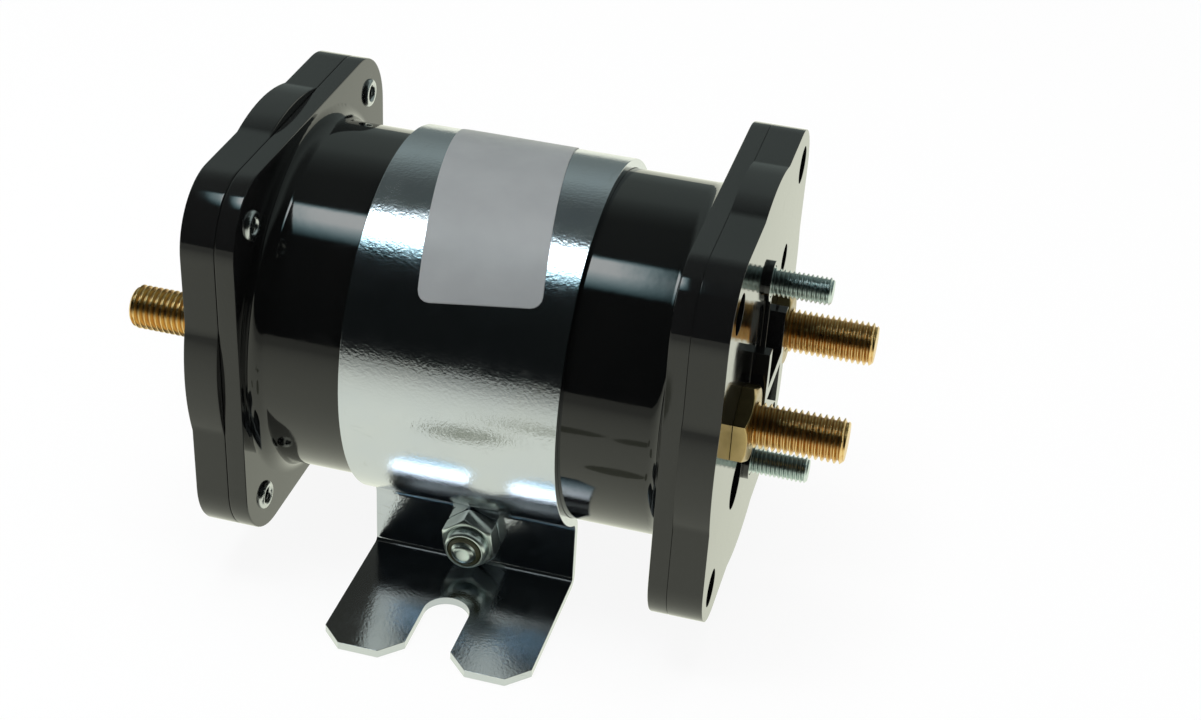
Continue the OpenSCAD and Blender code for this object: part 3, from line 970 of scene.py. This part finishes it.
class Workshop:
    """Dresses pieces and hands them to the frame."""

    def __init__(self) -> None:
        """Builds the shared effects."""
        self.effects = Effects()
        self.built: dict[str, bpy.types.Material] = {}

    def material(self, finish: Finish) -> bpy.types.Material:
        """Gives the material of a finish, built once.

        Args:
            finish: The finish.

        Returns:
            Its material.
        """
        if finish.name not in self.built:
            self.built[finish.name] = finish.build(self.effects)
        return self.built[finish.name]

    def dress(self, obj: bpy.types.Object, finish: Finish) -> None:
        """Gives a piece one finish all over."""
        obj.data.materials.clear()
        obj.data.materials.append(self.material(finish))

    @staticmethod
    def enter(obj: bpy.types.Object, slot: Slot, *nodes: str) -> None:
        """Hides the nodes that a piece stands for, and reports it.

        Args:
            obj: The piece.
            slot: Its material slot in the record; not used.
            *nodes: Nodes that it stands for.
        """
        if nodes:
            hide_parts(*nodes)
        stands_for = ", ".join(nodes) or "no node"
        LOG.info("%s: %d faces, stands for %s", obj.name, len(obj.data.polygons), stands_for)

    def deliver(
        self, obj: bpy.types.Object, finish: Finish, body: Body, slot: Slot, *nodes: str
    ) -> None:
        """Dresses a new piece and lets it ride in place of nodes of the frame.

        Args:
            obj: The piece.
            finish: Its finish.
            body: The body that it rides on.
            slot: Its material slot in the record.
            *nodes: Nodes that it stands for.
        """
        self.dress(obj, finish)
        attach(obj, body.value)
        self.enter(obj, slot, *nodes)


# The solenoid's pieces


@dataclass
class Mouldings:
    """The tube with its flanges, and the two end caps."""

    edge: float = 0.35
    names: tuple[tuple[str, str], ...] = (
        ("body_shell", "body_moulding"),
        ("left_cap", "left_end_cap"),
        ("right_cap", "right_end_cap"),
    )

    def build(self, shop: Workshop) -> None:
        """Models and delivers the three mouldings.

        Args:
            shop: The workshop.
        """
        for node, name in self.names:
            piece = copy_of_node(node, name, self.edge)
            shop.deliver(piece, MOULDING, Body.HOUSING, Slot.MOULDING, node)


@dataclass
class Eyelets:
    """Tubular rivets with a rolled head on the flange and a flat head in the cap."""

    hole_r: float = 1.3
    barrel_r: float = 2.0
    roll_r: float = 2.65
    roll_h: float = 0.75
    flat_r: float = 3.0
    flat_h: float = 0.5
    edge: float = 0.12
    flare: float = 0.3
    start: float = 36.6
    grip: float = 6.65
    sides: int = 40

    def profile(self) -> list[Pair]:
        """Works out the outline of one side of the rivet.

        Returns:
            A closed ring of points.
        """
        half_wall = (self.roll_r - self.hole_r) / 2
        roll = []
        for turn in arc(180):
            roll.append((-self.roll_h * math.sin(turn), self.hole_r + half_wall * (1 - math.cos(turn))))
        top = self.grip + self.flat_h
        flat = [
            (0.0, self.barrel_r),
            (self.grip, self.barrel_r),
            (self.grip, self.flat_r),
            (top - self.edge, self.flat_r),
            (top, self.flat_r - self.edge),
            (top, self.hole_r + self.flare),
            (top - self.edge, self.hole_r),
        ]
        return roll + flat + [roll[0]]

    def build(self, shop: Workshop) -> None:
        """Models one rivet for each end and copies it to the end's four holes.

        Args:
            shop: The workshop.
        """
        apart = 2 * RIVET_AT
        for end in End:
            first = spun(f"{end.word}_eyelets", self.profile(), self.sides)
            place(first, (end.value * self.start, -RIVET_AT, AXIS_H - RIVET_AT), end.facing)
            shade(first, ROUND_SHADE)
            piece = repeat(first, (0, apart, 0), (0, 0, apart), (0, apart, apart))
            shop.deliver(piece, EYELET_METAL, Body.HOUSING, Slot.EYELET, f"{end.word}_rivets")


@dataclass(frozen=True)
class Thread:
    """A right-handed outside thread along +X.

    Depth, crest and flank are shares of the pitch. The turns before the rod's start and past its
    end are cut off.
    """

    radius: float
    pitch: float
    steps: int = 36
    depth: float = 0.6134
    crest: float = 1 / 8
    flank: float = 5 / 16
    turns_before: float = 1.37
    spare_turns: int = 3
    tool_reach: float = 100.0
    tool_gap: float = 1.0

    @property
    def root(self) -> float:
        """Radius at the bottom of the thread."""
        return self.radius - self.depth * self.pitch

    def rod(self, name: str, start: float, end: float) -> bpy.types.Object:
        """Models a threaded rod with two flat ends.

        Args:
            name: Name of the rod.
            start: Where it begins along X, in millimetres.
            end: Where it ends.

        Returns:
            The rod on the X axis.
        """
        first = start - self.turns_before * self.pitch
        crest = self.crest * self.pitch
        flank = self.flank * self.pitch
        turn = [
            (first, self.radius),
            (first + crest, self.radius),
            (first + crest + flank, self.root),
            (first + self.pitch - flank, self.root),
            (first + self.pitch, self.radius),
        ]
        obj = draw_wire(name, turn)
        turns = math.ceil((end - start) / self.pitch) + self.spare_turns
        sweep(obj, self.steps, self.pitch, turns)
        with Editing(obj):
            bpy.ops.mesh.remove_doubles(threshold=WELD * MM)
            for at, before in ((start, True), (end, False)):
                bpy.ops.mesh.bisect(
                    plane_co=(at * MM, 0, 0),
                    plane_no=(1, 0, 0),
                    use_fill=True,
                    clear_inner=before,
                    clear_outer=not before,
                    threshold=SLICE_WELD * MM,
                )
                bpy.ops.mesh.select_all(action="SELECT")
            bpy.ops.mesh.normals_make_consistent(inside=False)
        return obj

    def point(self, obj: bpy.types.Object, end: float, chamfer: float, dome: float = 0.0) -> None:
        """Turns a chamfer on the end of a rod, as on a lathe.

        Args:
            obj: The rod.
            end: Where it ends along X, in millimetres.
            chamfer: Depth of the chamfer.
            dome: How far the end's middle stands proud of its rim.
        """
        rings = 3
        rim = self.radius - chamfer
        face = [
            (end - dome * ring * ring / rings**2, rim * ring / rings) for ring in range(rings, -1, -1)
        ]
        clear_r = self.radius + self.tool_gap
        start = [
            (-self.tool_reach, 0.0),
            (-self.tool_reach, clear_r),
            (end - dome - chamfer - self.tool_gap, clear_r),
        ]
        carve(obj, spun("blank", start + face, steps=64), Carving.KEEP_INSIDE)

    def pointed_rod(
        self, name: str, start: float, end: float, chamfer: float, dome: float = 0.0
    ) -> bpy.types.Object:
        """Models and shades a threaded rod with a chamfered end.

        Args:
            name: Name of the rod.
            start: Where it begins along X, in millimetres.
            end: Where it ends.
            chamfer: Depth of the chamfer.
            dome: How far the end's middle stands proud of its rim.

        Returns:
            The rod on the X axis.
        """
        rod = self.rod(name, start, end)
        self.point(rod, end, chamfer, dome)
        shade(rod, ROUND_SHADE)
        return rod


@dataclass
class PowerStuds:
    """Copper studs with a square contact head inside the cap."""

    thread: Thread = field(default_factory=lambda: Thread(radius=3.97, pitch=INCH / 24))
    head_x: float = 36.85
    head_t: float = 3.2
    head_side: float = 13.0
    head_edge: float = 0.4
    knurl_r: float = 4.2
    knurl_edge: float = 0.2
    neck_r: float = 3.4
    thread_from: float = 48.2
    tip: float = 64.95
    chamfer: float = 0.7
    sunk: float = 1.0
    neck_lap: float = 0.4

    def one(self, name: str) -> bpy.types.Object:
        """Models one stud on the X axis.

        Args:
            name: Name of the stud.

        Returns:
            The stud.
        """
        rod = self.thread.pointed_rod(name, self.thread_from, self.tip, self.chamfer)
        barrel_from = self.head_x + self.sunk
        neck_to = self.thread_from + self.neck_lap
        barrel = spun(
            "barrel",
            [
                (barrel_from, 0.0),
                (barrel_from, self.knurl_r),
                (CAP_OUT - self.knurl_edge, self.knurl_r),
                (CAP_OUT, self.knurl_r - self.knurl_edge),
                (CAP_OUT, self.neck_r),
                (neck_to, self.neck_r),
                (neck_to, 0.0),
            ],
        )
        shade(barrel)
        size = (self.head_t, self.head_side, self.head_side)
        head = block("head", size, (self.head_x + self.head_t / 2, 0, 0))
        soften(head, self.head_edge, segments=3)
        shade(head)
        return join(name, [rod, barrel, head])

    def build(self, shop: Workshop) -> None:
        """Models one stud for each end and copies it to the end's second place.

        Args:
            shop: The workshop.
        """
        for end in End:
            first = self.one(f"{end.word}_studs")
            place(first, (0, -POWER_STUD_GAP / 2, AXIS_H), end.facing)
            piece = repeat(first, (0, POWER_STUD_GAP, 0))
            shop.deliver(piece, STUD_COPPER, Body.HOUSING, Slot.STUD, f"{end.word}_power_studs")


@dataclass
class HexNut:
    """A hexagon nut along +X, chamfered on its outer side, with a countersunk bore.

    The chamfer has the slope of the cone and begins inside the flats by face_in.
    """

    flats: float
    height: float
    bore_r: float
    sink_r: float
    both_sides: bool = False
    face_in: float = 0.15
    cone: float = math.radians(30)
    tool_gap: float = 0.5
    bore_before: float = 1.0
    bore_past: float = 0.35

    @property
    def corner_r(self) -> float:
        """Radius of the six corners."""
        return self.flats / math.sqrt(3)

    def chamfer_outline(self) -> list[Pair]:
        """Works out what the chamfers leave of the hexagon.

        Returns:
            Points from the axis to the axis, well clear of the flats.
        """
        face_r = self.flats / 2 - self.face_in
        cone_r = self.corner_r + self.tool_gap
        fall = (cone_r - face_r) * math.tan(self.cone)
        inner = [(0.0, 0.0), (0.0, self.flats)]
        if self.both_sides:
            inner = [(0.0, 0.0), (0.0, face_r), (fall, cone_r), (fall, self.flats)]
        outer = [
            (self.height - fall, self.flats),
            (self.height - fall, cone_r),
            (self.height, face_r),
            (self.height, 0.0),
        ]
        return inner + outer

    def bore_outline(self) -> list[Pair]:
        """Works out the bore and its countersink, past both faces.

        Returns:
            Points from the axis to the axis.
        """
        sink_h = self.sink_r - self.bore_r
        return [
            (-self.bore_before, 0.0),
            (-self.bore_before, self.bore_r),
            (self.height - sink_h, self.bore_r),
            (self.height, self.sink_r),
            (self.height + self.bore_past, self.sink_r),
            (self.height + self.bore_past, 0.0),
        ]

    def one(self, name: str) -> bpy.types.Object:
        """Models the nut from x = 0 to its height.

        Args:
            name: Name of the nut.

        Returns:
            The nut, with sharp edges.
        """
        bpy.ops.mesh.primitive_cylinder_add(
            vertices=6, radius=self.corner_r * MM, depth=self.height * MM
        )
        nut = bpy.context.object
        name_piece(nut, name)
        nut.rotation_euler = (0, math.pi / 2, 0)
        nut.location = metres((self.height / 2, 0, 0))
        settle(nut)
        carve(nut, spun("chamfers", self.chamfer_outline(), steps=72), Carving.KEEP_INSIDE)
        carve(nut, spun("bore", self.bore_outline()), Carving.CUT)
        close_up(nut)
        return nut


@dataclass
class StudNuts:
    """Thin nuts that hold the power studs in the caps."""

    nut: HexNut = field(
        default_factory=lambda: HexNut(flats=12.7, height=2.7, bore_r=3.45, sink_r=4.2)
    )
    turn: float = 26.6
    edge: float = 0.08

    def build(self, shop: Workshop) -> None:
        """Models one nut for each end and copies it to the end's second stud.

        Args:
            shop: The workshop.
        """
        for end in End:
            first = self.nut.one(f"{end.word}_thin_nuts")
            at = (end.value * CAP_OUT, -POWER_STUD_GAP / 2, AXIS_H)
            place(first, at, end.facing, end.value * -self.turn)
            soften(first, self.edge, segments=1)
            shade(first)
            piece = repeat(first, (0, POWER_STUD_GAP, 0))
            shop.deliver(piece, NUT_BRASS, Body.HOUSING, Slot.NUT, f"{end.word}_stud_nuts")


@dataclass
class CoilStuds:
    """Thin zinc-plated studs for the coil's leads, with a collar inside the cap."""

    thread: Thread = field(
        default_factory=lambda: Thread(radius=2.415, pitch=INCH / 32, steps=30, depth=0.48)
    )
    inner_thread: Thread = field(
        default_factory=lambda: Thread(radius=2.08, pitch=INCH / 32, steps=24)
    )
    spacing: float = 37.4
    inner_end: float = 32.85
    collar: Pair = (38.05, 40.05)
    collar_r: float = 4.5
    knurl_r: float = 2.7
    knurl_edge: float = 0.15
    shank_from: float = 47.15
    tip: float = 57.55
    chamfer: float = 0.5
    lap: float = 0.5

    def build(self, shop: Workshop) -> None:
        """Models one stud and copies it to the second place.

        Args:
            shop: The workshop.
        """
        collar_from, collar_to = self.collar
        inner = self.inner_thread.rod("inner", self.inner_end, collar_from + self.lap)
        shade(inner, ROUND_SHADE)
        shank = self.thread.pointed_rod("shank", self.shank_from - self.lap, self.tip, self.chamfer)
        body = spun(
            "body",
            [
                (collar_from, 0.0),
                (collar_from, self.collar_r),
                (collar_to, self.collar_r),
                (collar_to, self.knurl_r),
                (self.shank_from - self.knurl_edge, self.knurl_r),
                (self.shank_from, self.knurl_r - self.knurl_edge),
                (self.shank_from, 0.0),
            ],
        )
        shade(body)
        first = join("coil_terminals", [body, inner, shank])
        place(first, (0, 0, AXIS_H - self.spacing / 2), Facing.RIGHT)
        piece = repeat(first, (0, 0, self.spacing))
        shop.deliver(piece, ZINC_HARDWARE, Body.HOUSING, Slot.HARDWARE, "coil_studs")


@dataclass
class ClampScrew:
    """The strap's screw: a slotted pan head and a threaded shank."""

    thread: Thread = field(
        default_factory=lambda: Thread(radius=2.415, pitch=INCH / 32, steps=30)
    )
    reach: float = 7.5
    head_r: float = 4.6
    head_h: float = 3.2
    head_round: float = 0.8
    head_sides: int = 56
    slot_w: float = 1.2
    slot_depth: float = 1.2
    edge: float = 0.08
    lap: float = 0.5
    chamfer: float = 0.8
    dome: float = 0.06

    def one(self, name: str, grip: float) -> bpy.types.Object:
        """Models the screw along +X, with the underside of its head at x = 0.

        Args:
            name: Name of the screw.
            grip: What it goes through before its nut, in millimetres.

        Returns:
            The screw.
        """
        shank = self.thread.pointed_rod(
            "shank", -self.lap, grip + self.reach, self.chamfer, self.dome
        )
        rim = []
        for turn in arc(90):
            down = self.head_round * (1 - math.sin(turn))
            inset = self.head_round * (1 - math.cos(turn))
            rim.append((-self.head_h + down, self.head_r - inset))
        outline = [(0.0, 0.0), (0.0, self.head_r), *rim, (-self.head_h, 0.0)]
        head = spun("head", outline, self.head_sides)
        size = (2 * self.slot_depth, 4 * self.head_r, self.slot_w)
        carve(head, block("slot", size, (-self.head_h, 0, 0)), Carving.CUT)
        soften(head, self.edge, segments=1)
        shade(head)
        return join(name, [head, shank])


@dataclass
class LockNut:
    """The strap's lock nut: a hexagon with a rolled collar, and the ring that it holds.

    The points of the collar's roll are given from its upper outer corner, down and inwards.
    Those of the ring's rim are given from the collar's top and pocket, and those of its mouth
    from the collar's top and the thread.
    """

    flats: float = 9.53
    hex_h: float = 4.2
    height: float = 6.3
    turn: float = -21.0
    bore_gap: float = 0.05
    sink: float = 0.25
    collar_r: float = 4.0
    collar_wall: float = 0.85
    collar_sunk: float = 0.5
    collar_sides: int = 56
    roll: tuple[Pair, ...] = ((1.0, 0.0), (0.45, 0.1), (0.1, 0.35), (0.0, 0.55), (0.05, 0.75))
    lip: float = 0.55
    edge: float = 0.08
    ring_rim: tuple[Pair, ...] = ((-0.2, 0.0), (0.1, 0.12))
    ring_mouth: tuple[Pair, ...] = ((0.32, 0.2), (0.38, -0.03))

    @property
    def pocket_r(self) -> float:
        """Inner radius of the collar, in which the ring sits."""
        return self.collar_r - self.collar_wall

    def nut(self, name: str, bore_r: float) -> bpy.types.Object:
        """Models the hexagon with its collar.

        Args:
            name: Name of the nut.
            bore_r: Radius of its bore.

        Returns:
            The nut along +X.
        """
        nut = HexNut(self.flats, self.hex_h, bore_r, bore_r + self.sink, both_sides=True).one(name)
        foot = self.hex_h - self.collar_sunk
        roll = [(self.height - down, self.collar_r - inset) for down, inset in self.roll]
        outline = [
            (foot, self.pocket_r),
            (foot, self.collar_r),
            *roll,
            (self.height - self.lip, self.pocket_r),
            (foot, self.pocket_r),
        ]
        carve(nut, spun("collar", outline, self.collar_sides), Carving.JOIN)
        close_up(nut)
        soften(nut, self.edge, segments=1)
        shade(nut)
        return nut

    def ring(self, name: str, bore_r: float) -> bpy.types.Object:
        """Models the ring in the collar.

        Args:
            name: Name of the ring.
            bore_r: Radius of the nut's bore.

        Returns:
            The ring along +X.
        """
        rim = [(self.height + up, self.pocket_r - inset) for up, inset in self.ring_rim]
        mouth = [(self.height + up, bore_r + out) for up, out in self.ring_mouth]
        foot = (self.hex_h, mouth[-1][1])
        ring = spun(name, [foot, (self.hex_h, self.pocket_r), *rim, *mouth, foot])
        shade(ring)
        return ring


@dataclass
class Strap:
    """The folded zinc strap with its screw and lock nut."""

    edge: float = 0.22
    bolt_x: float = -0.5
    bolt_z: float = 7.985
    neck_y: float = 15.48
    screw: ClampScrew = field(default_factory=ClampScrew)
    lock_nut: LockNut = field(default_factory=LockNut)

    def build(self, shop: Workshop) -> None:
        """Models and delivers the sheet, the screw, the nut and the nut's ring.

        Args:
            shop: The workshop.
        """
        sheet = copy_of_node("strap_bracket", "mounting_strap", self.edge)
        shop.deliver(sheet, ZINC_SHEET, Body.HOUSING, Slot.STRAP, "strap_bracket")
        screw = self.screw.one("clamp_screw", 2 * self.neck_y)
        place(screw, (self.bolt_x, self.neck_y, self.bolt_z), Facing.NEAR)
        shop.deliver(screw, ZINC_HARDWARE, Body.HOUSING, Slot.HARDWARE, "clamp_bolt")
        bore_r = self.screw.thread.radius + self.lock_nut.bore_gap
        at = (self.bolt_x, -self.neck_y, self.bolt_z)
        nut = self.lock_nut.nut("lock_nut", bore_r)
        ring = self.lock_nut.ring("lock_nut_ring", bore_r)
        place(nut, at, Facing.NEAR, self.lock_nut.turn)
        place(ring, at, Facing.NEAR)
        shop.deliver(nut, ZINC_HARDWARE, Body.HOUSING, Slot.HARDWARE, "clamp_nut")
        shop.deliver(ring, INSERT_RING, Body.HOUSING, Slot.HARDWARE)


@dataclass
class Springs:
    """Return spring and contact springs, each between two bodies that come closer or part."""

    wire_r: float = 0.45
    fatten: float = 0.06
    shading: float = 60.0
    rows: tuple[tuple[str, str, Body, Body], ...] = (
        ("return_coil", "return_spring", Body.PLUNGER_SET, Body.HOUSING),
        ("left_contact_coil", "left_contact_spring", Body.LEFT_BRIDGE, Body.PLUNGER_SET),
        ("right_contact_coil", "right_contact_spring", Body.PLUNGER_SET, Body.RIGHT_BRIDGE),
    )

    def wound(self, name: str, node: str) -> bpy.types.Object:
        """Copies a spring of the frame and rounds its flat-sided wire.

        Args:
            name: Name of the piece.
            node: Node that it is made from.

        Returns:
            The spring.
        """
        coil = bare_copy(node, name)
        with Editing(coil, Select.FACES):
            bpy.ops.mesh.tris_convert_to_quads(face_threshold=1.0, shape_threshold=math.pi)
            bpy.ops.transform.shrink_fatten(value=self.fatten * MM)
        rounding = coil.modifiers.new("round wire", "SUBSURF")
        rounding.levels = 1
        rounding.render_levels = 1
        finish_modifier(coil, rounding)
        shade(coil, self.shading)
        return coil

    def build(self, shop: Workshop) -> None:
        """Models and dresses the springs, and hides the nodes that they stand for.

        Args:
            shop: The workshop.
        """
        for name, node, left_body, right_body in self.rows:
            coil = self.wound(name, node)
            shop.dress(coil, SPRING_STEEL)
            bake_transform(coil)
            shop.enter(coil, Slot.SPRING, node)


@dataclass
class Works:
    """The label, and the coil, magnet and contact set inside, whose frame shapes stay."""

    finishes: dict[str, Finish] = field(
        default_factory=lambda: {
            "label": LABEL_FILM,
            "coil_stud_nuts": ZINC_HARDWARE,
            "steel_can": SOFT_IRON,
            "left_pole_plate": SOFT_IRON,
            "right_pole_plate": SOFT_IRON,
            "coil_bobbin": BOBBIN_NYLON,
            "coil_winding": WINDING,
            "coil_leads": CONTACT_COPPER,
            "guide_sleeve": SLEEVE_BRASS,
            "core_stop": SOFT_IRON,
            "plunger": SOFT_IRON,
            "plunger_rod": ROD_STEEL,
            "spring_seats": ROD_STEEL,
            "rod_clips": SPRING_STEEL,
            "left_contact_bridge": CONTACT_COPPER,
            "right_contact_bridge": CONTACT_COPPER,
            "left_bridge_bushing": BUSHING,
            "right_bridge_bushing": BUSHING,
        }
    )

    def build(self, shop: Workshop, nodes: dict[str, bpy.types.Object]) -> None:
        """Dresses the nodes that are kept.

        Args:
            shop: The workshop.
            nodes: The frame's nodes.
        """
        for node, finish in self.finishes.items():
            for slot in nodes[node].material_slots:
                slot.material = shop.material(finish)
            LOG.info("%s: dressed in %s", node, finish.name)


# Studio


@dataclass
class Camera:
    """The camera, at the photograph's angle."""

    sensor: float = 36.0
    lens: float = 59.77
    shift: Pair = (0.0136, 0.0529)
    sees_from: float = 0.01
    sees_to: float = 50.0
    at: Place = (86.45, -296.22, 232.67)
    turn: Place = (55.7997, -2.8323, 15.4146)

    def build(self) -> None:
        """Puts the camera in its place."""
        data = bpy.data.cameras.new("camera")
        data.sensor_width = self.sensor
        data.lens = self.lens
        data.shift_x, data.shift_y = self.shift
        data.clip_start = self.sees_from
        data.clip_end = self.sees_to
        camera = bpy.data.objects.new("camera", data)
        bpy.context.scene.collection.objects.link(camera)
        camera.location = metres(self.at)
        camera.rotation_euler = tuple(math.radians(angle) for angle in self.turn)
        bpy.context.scene.camera = camera


def seen(build: Nodes) -> bpy.types.NodeSocket:
    """Tells the camera's, a mirror's and glass's rays from those that only light a surface.

    Args:
        build: Builder of the tree that asks.

    Returns:
        One where the ray shows the surface, otherwise nought.
    """
    path = build.add("ShaderNodeLightPath")
    shown = build.maths(Sum.MAXIMUM, path.outputs["Is Camera Ray"], path.outputs["Is Glossy Ray"])
    return build.maths(Sum.MAXIMUM, shown, path.outputs["Is Transmission Ray"])


@dataclass
class Surroundings:
    """White where they are seen, and a plain level of light elsewhere."""

    level: float = 0.50
    white: float = 1.0

    def build(self) -> None:
        """Makes the world."""
        world = bpy.data.worlds.new("studio")
        bpy.context.scene.world = world
        build = bare_tree(world)
        strength = build.spread(seen(build), 0.0, 1.0, self.level, self.white)
        back = build.add("ShaderNodeBackground", Color=WHITE, Strength=strength)
        build.show(back, "ShaderNodeOutputWorld")


@dataclass
class Floor:
    """A wide pale floor that keeps the object's shadow, and dims towards its near side in mirrors."""

    side: float = 12000.0
    paint: Rgba = (0.9, 0.9, 0.9, 1)
    glow_share: float = 0.9
    camera_level: float = 1.01
    mirror_y: Pair = (-400, -90)
    mirror_levels: Pair = (0.42, 1.15)
    mirror_tint: Rgba = (0.97, 1, 0.83, 1)

    def build(self) -> None:
        """Lays the floor."""
        bpy.ops.mesh.primitive_plane_add(size=self.side * MM, location=(0, 0, 0))
        floor = bpy.context.object
        floor.name = "floor"
        material = bpy.data.materials.new("Pale floor")
        build = bare_tree(material)
        lit = build.add("ShaderNodeBsdfDiffuse", Color=self.paint)
        camera = build.add("ShaderNodeLightPath").outputs["Is Camera Ray"]
        mirrored = build.spread(build.axes()["Y"], *self.mirror_y, *self.mirror_levels)
        level = build.spread(camera, 0.0, 1.0, mirrored, self.camera_level)
        tint = build.mix(camera, self.mirror_tint, WHITE)
        glow = build.add("ShaderNodeEmission", Color=tint, Strength=level)
        both = build.add("ShaderNodeMixShader")
        build.feed(both, 0, build.maths(Sum.MULTIPLY, seen(build), self.glow_share))
        build.feed(both, 1, lit.outputs[0])
        build.feed(both, 2, glow.outputs[0])
        build.show(both)
        floor.data.materials.append(material)


@dataclass
class Room:
    """Walls that only reflections see: grey behind the object, darker above, dark in front."""

    radius: float = 1600.0
    sides: int = 48
    rings: int = 24
    open_below: float = 1.0
    tint: Rgba = (0.84, 1, 0.94, 1)
    foot_level: float = 0.27
    middle_level: float = 0.42
    top_level: float = 0.11
    front_level: float = 0.01
    middle_z: Pair = (500, 1000)
    top_z: Pair = (1060, 1420)
    front_y: Pair = (-300, 60)

    def build(self) -> None:
        """Puts up the walls."""
        bpy.ops.mesh.primitive_uv_sphere_add(
            segments=self.sides, ring_count=self.rings, radius=self.radius * MM, location=(0, 0, 0)
        )
        room = bpy.context.object
        room.name = "room"
        with Editing(room):
            bpy.ops.mesh.bisect(
                plane_co=(0, 0, self.open_below * MM), plane_no=(0, 0, 1), clear_inner=True
            )
        material = bpy.data.materials.new("Room walls")
        build = bare_tree(material)
        where = build.axes()
        low = build.spread(where["Z"], *self.middle_z, self.foot_level, self.middle_level)
        back = build.spread(where["Z"], *self.top_z, low, self.top_level)
        level = build.spread(where["Y"], *self.front_y, self.front_level, back)
        build.show(build.add("ShaderNodeEmission", Color=self.tint, Strength=level))
        room.data.materials.append(material)
        room.visible_camera = False
        room.visible_diffuse = False


@dataclass
class Softbox:
    """A hanging softbox that is bright in the middle and fades towards its sides.

    Along X and along Y it is dark at the first place, bright from the second to the third, and
    dark again at the fourth.
    """

    height: float = 745.0
    along_x: Quad = (-335, -275, -110, -72)
    along_y: Quad = (-345, -175, -78, -45)
    strength: float = 8.0
    side_tint: Rgba = (0.45, 0.9, 1, 1)
    middle_tint: Rgba = (0.95, 1, 1, 1)

    def build(self) -> None:
        """Hangs the softbox."""
        left, right = self.along_x[0], self.along_x[-1]
        near, far = self.along_y[0], self.along_y[-1]
        bpy.ops.mesh.primitive_plane_add(size=MM)
        lamp = bpy.context.object
        lamp.name = "softbox"
        lamp.scale = (right - left, near - far, 1)
        lamp.location = metres(((left + right) / 2, (near + far) / 2, self.height))
        settle(lamp)
        material = bpy.data.materials.new("Softbox face")
        build = bare_tree(material)
        where = build.axes()
        level: Value = self.strength
        for axis, (dark, bright, full, end) in (("X", self.along_x), ("Y", self.along_y)):
            rise = build.mask(where[axis], dark, bright)
            fall = build.mask(where[axis], end, full)
            level = build.maths(Sum.MULTIPLY, level, build.maths(Sum.MULTIPLY, rise, fall))
        share = build.maths(Sum.DIVIDE, level, self.strength)
        tint = build.mix(share, self.side_tint, self.middle_tint)
        build.show(build.add("ShaderNodeEmission", Color=tint, Strength=level))
        lamp.data.materials.append(material)
        lamp.visible_camera = False
        lamp.visible_shadow = False


@dataclass
class OverheadLamp:
    """A wide soft light from above that mirrors don't show."""

    side: float = 500.0
    at: Place = (-60, -40, 900)
    power: float = 3.6

    def build(self) -> None:
        """Hangs the lamp."""
        data = bpy.data.lights.new("overhead", "AREA")
        data.shape = "SQUARE"
        data.size = self.side * MM
        data.energy = self.power
        lamp = bpy.data.objects.new("overhead", data)
        bpy.context.scene.collection.objects.link(lamp)
        lamp.location = metres(self.at)
        lamp.visible_glossy = False


@dataclass
class DarkCards:
    """Small round cards on the floor that only reflections see.

    Each row gives a card's place along X and Y, its width and its depth.
    """

    rows: tuple[Quad, ...] = (
        (-13.5, -82, 16, 22),
        (-4, -121, 24, 20),
        (15, -121, 9, 18),
        (20, -61, 12, 8),
    )
    sides: int = 24
    thickness: float = 0.1
    height: float = 0.2
    tint: Rgba = (0.95, 1, 0.75, 1)
    level: float = 0.45

    def build(self) -> None:
        """Lays the cards."""
        material = bpy.data.materials.new("Dark card")
        build = bare_tree(material)
        build.show(build.add("ShaderNodeEmission", Color=self.tint, Strength=self.level))
        for number, (x, y, width, depth) in enumerate(self.rows):
            bpy.ops.mesh.primitive_cylinder_add(
                vertices=self.sides, radius=MM / 2, depth=self.thickness * MM
            )
            card = bpy.context.object
            card.name = f"dark_card_{number}"
            card.scale = (width, depth, 1)
            card.location = metres((x, y, self.height))
            settle(card)
            card.data.materials.append(material)
            card.visible_camera = False
            card.visible_diffuse = False
            card.visible_shadow = False


def main() -> None:
    """Builds the solenoid and its studio."""
    logging.basicConfig(level=logging.INFO, format="%(message)s")
    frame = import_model()
    shop = Workshop()
    studio = (Camera(), Surroundings(), Floor(), Room(), Softbox(), OverheadLamp(), DarkCards())
    for fitting in studio:
        fitting.build()
    bpy.context.scene.view_settings.view_transform = "Standard"
    groups = (Mouldings(), Eyelets(), PowerStuds(), StudNuts(), CoilStuds(), Strap(), Springs())
    for group in groups:
        group.build(shop)
    Works().build(shop, frame["nodes"])


if __name__ == "__main__":
    main()
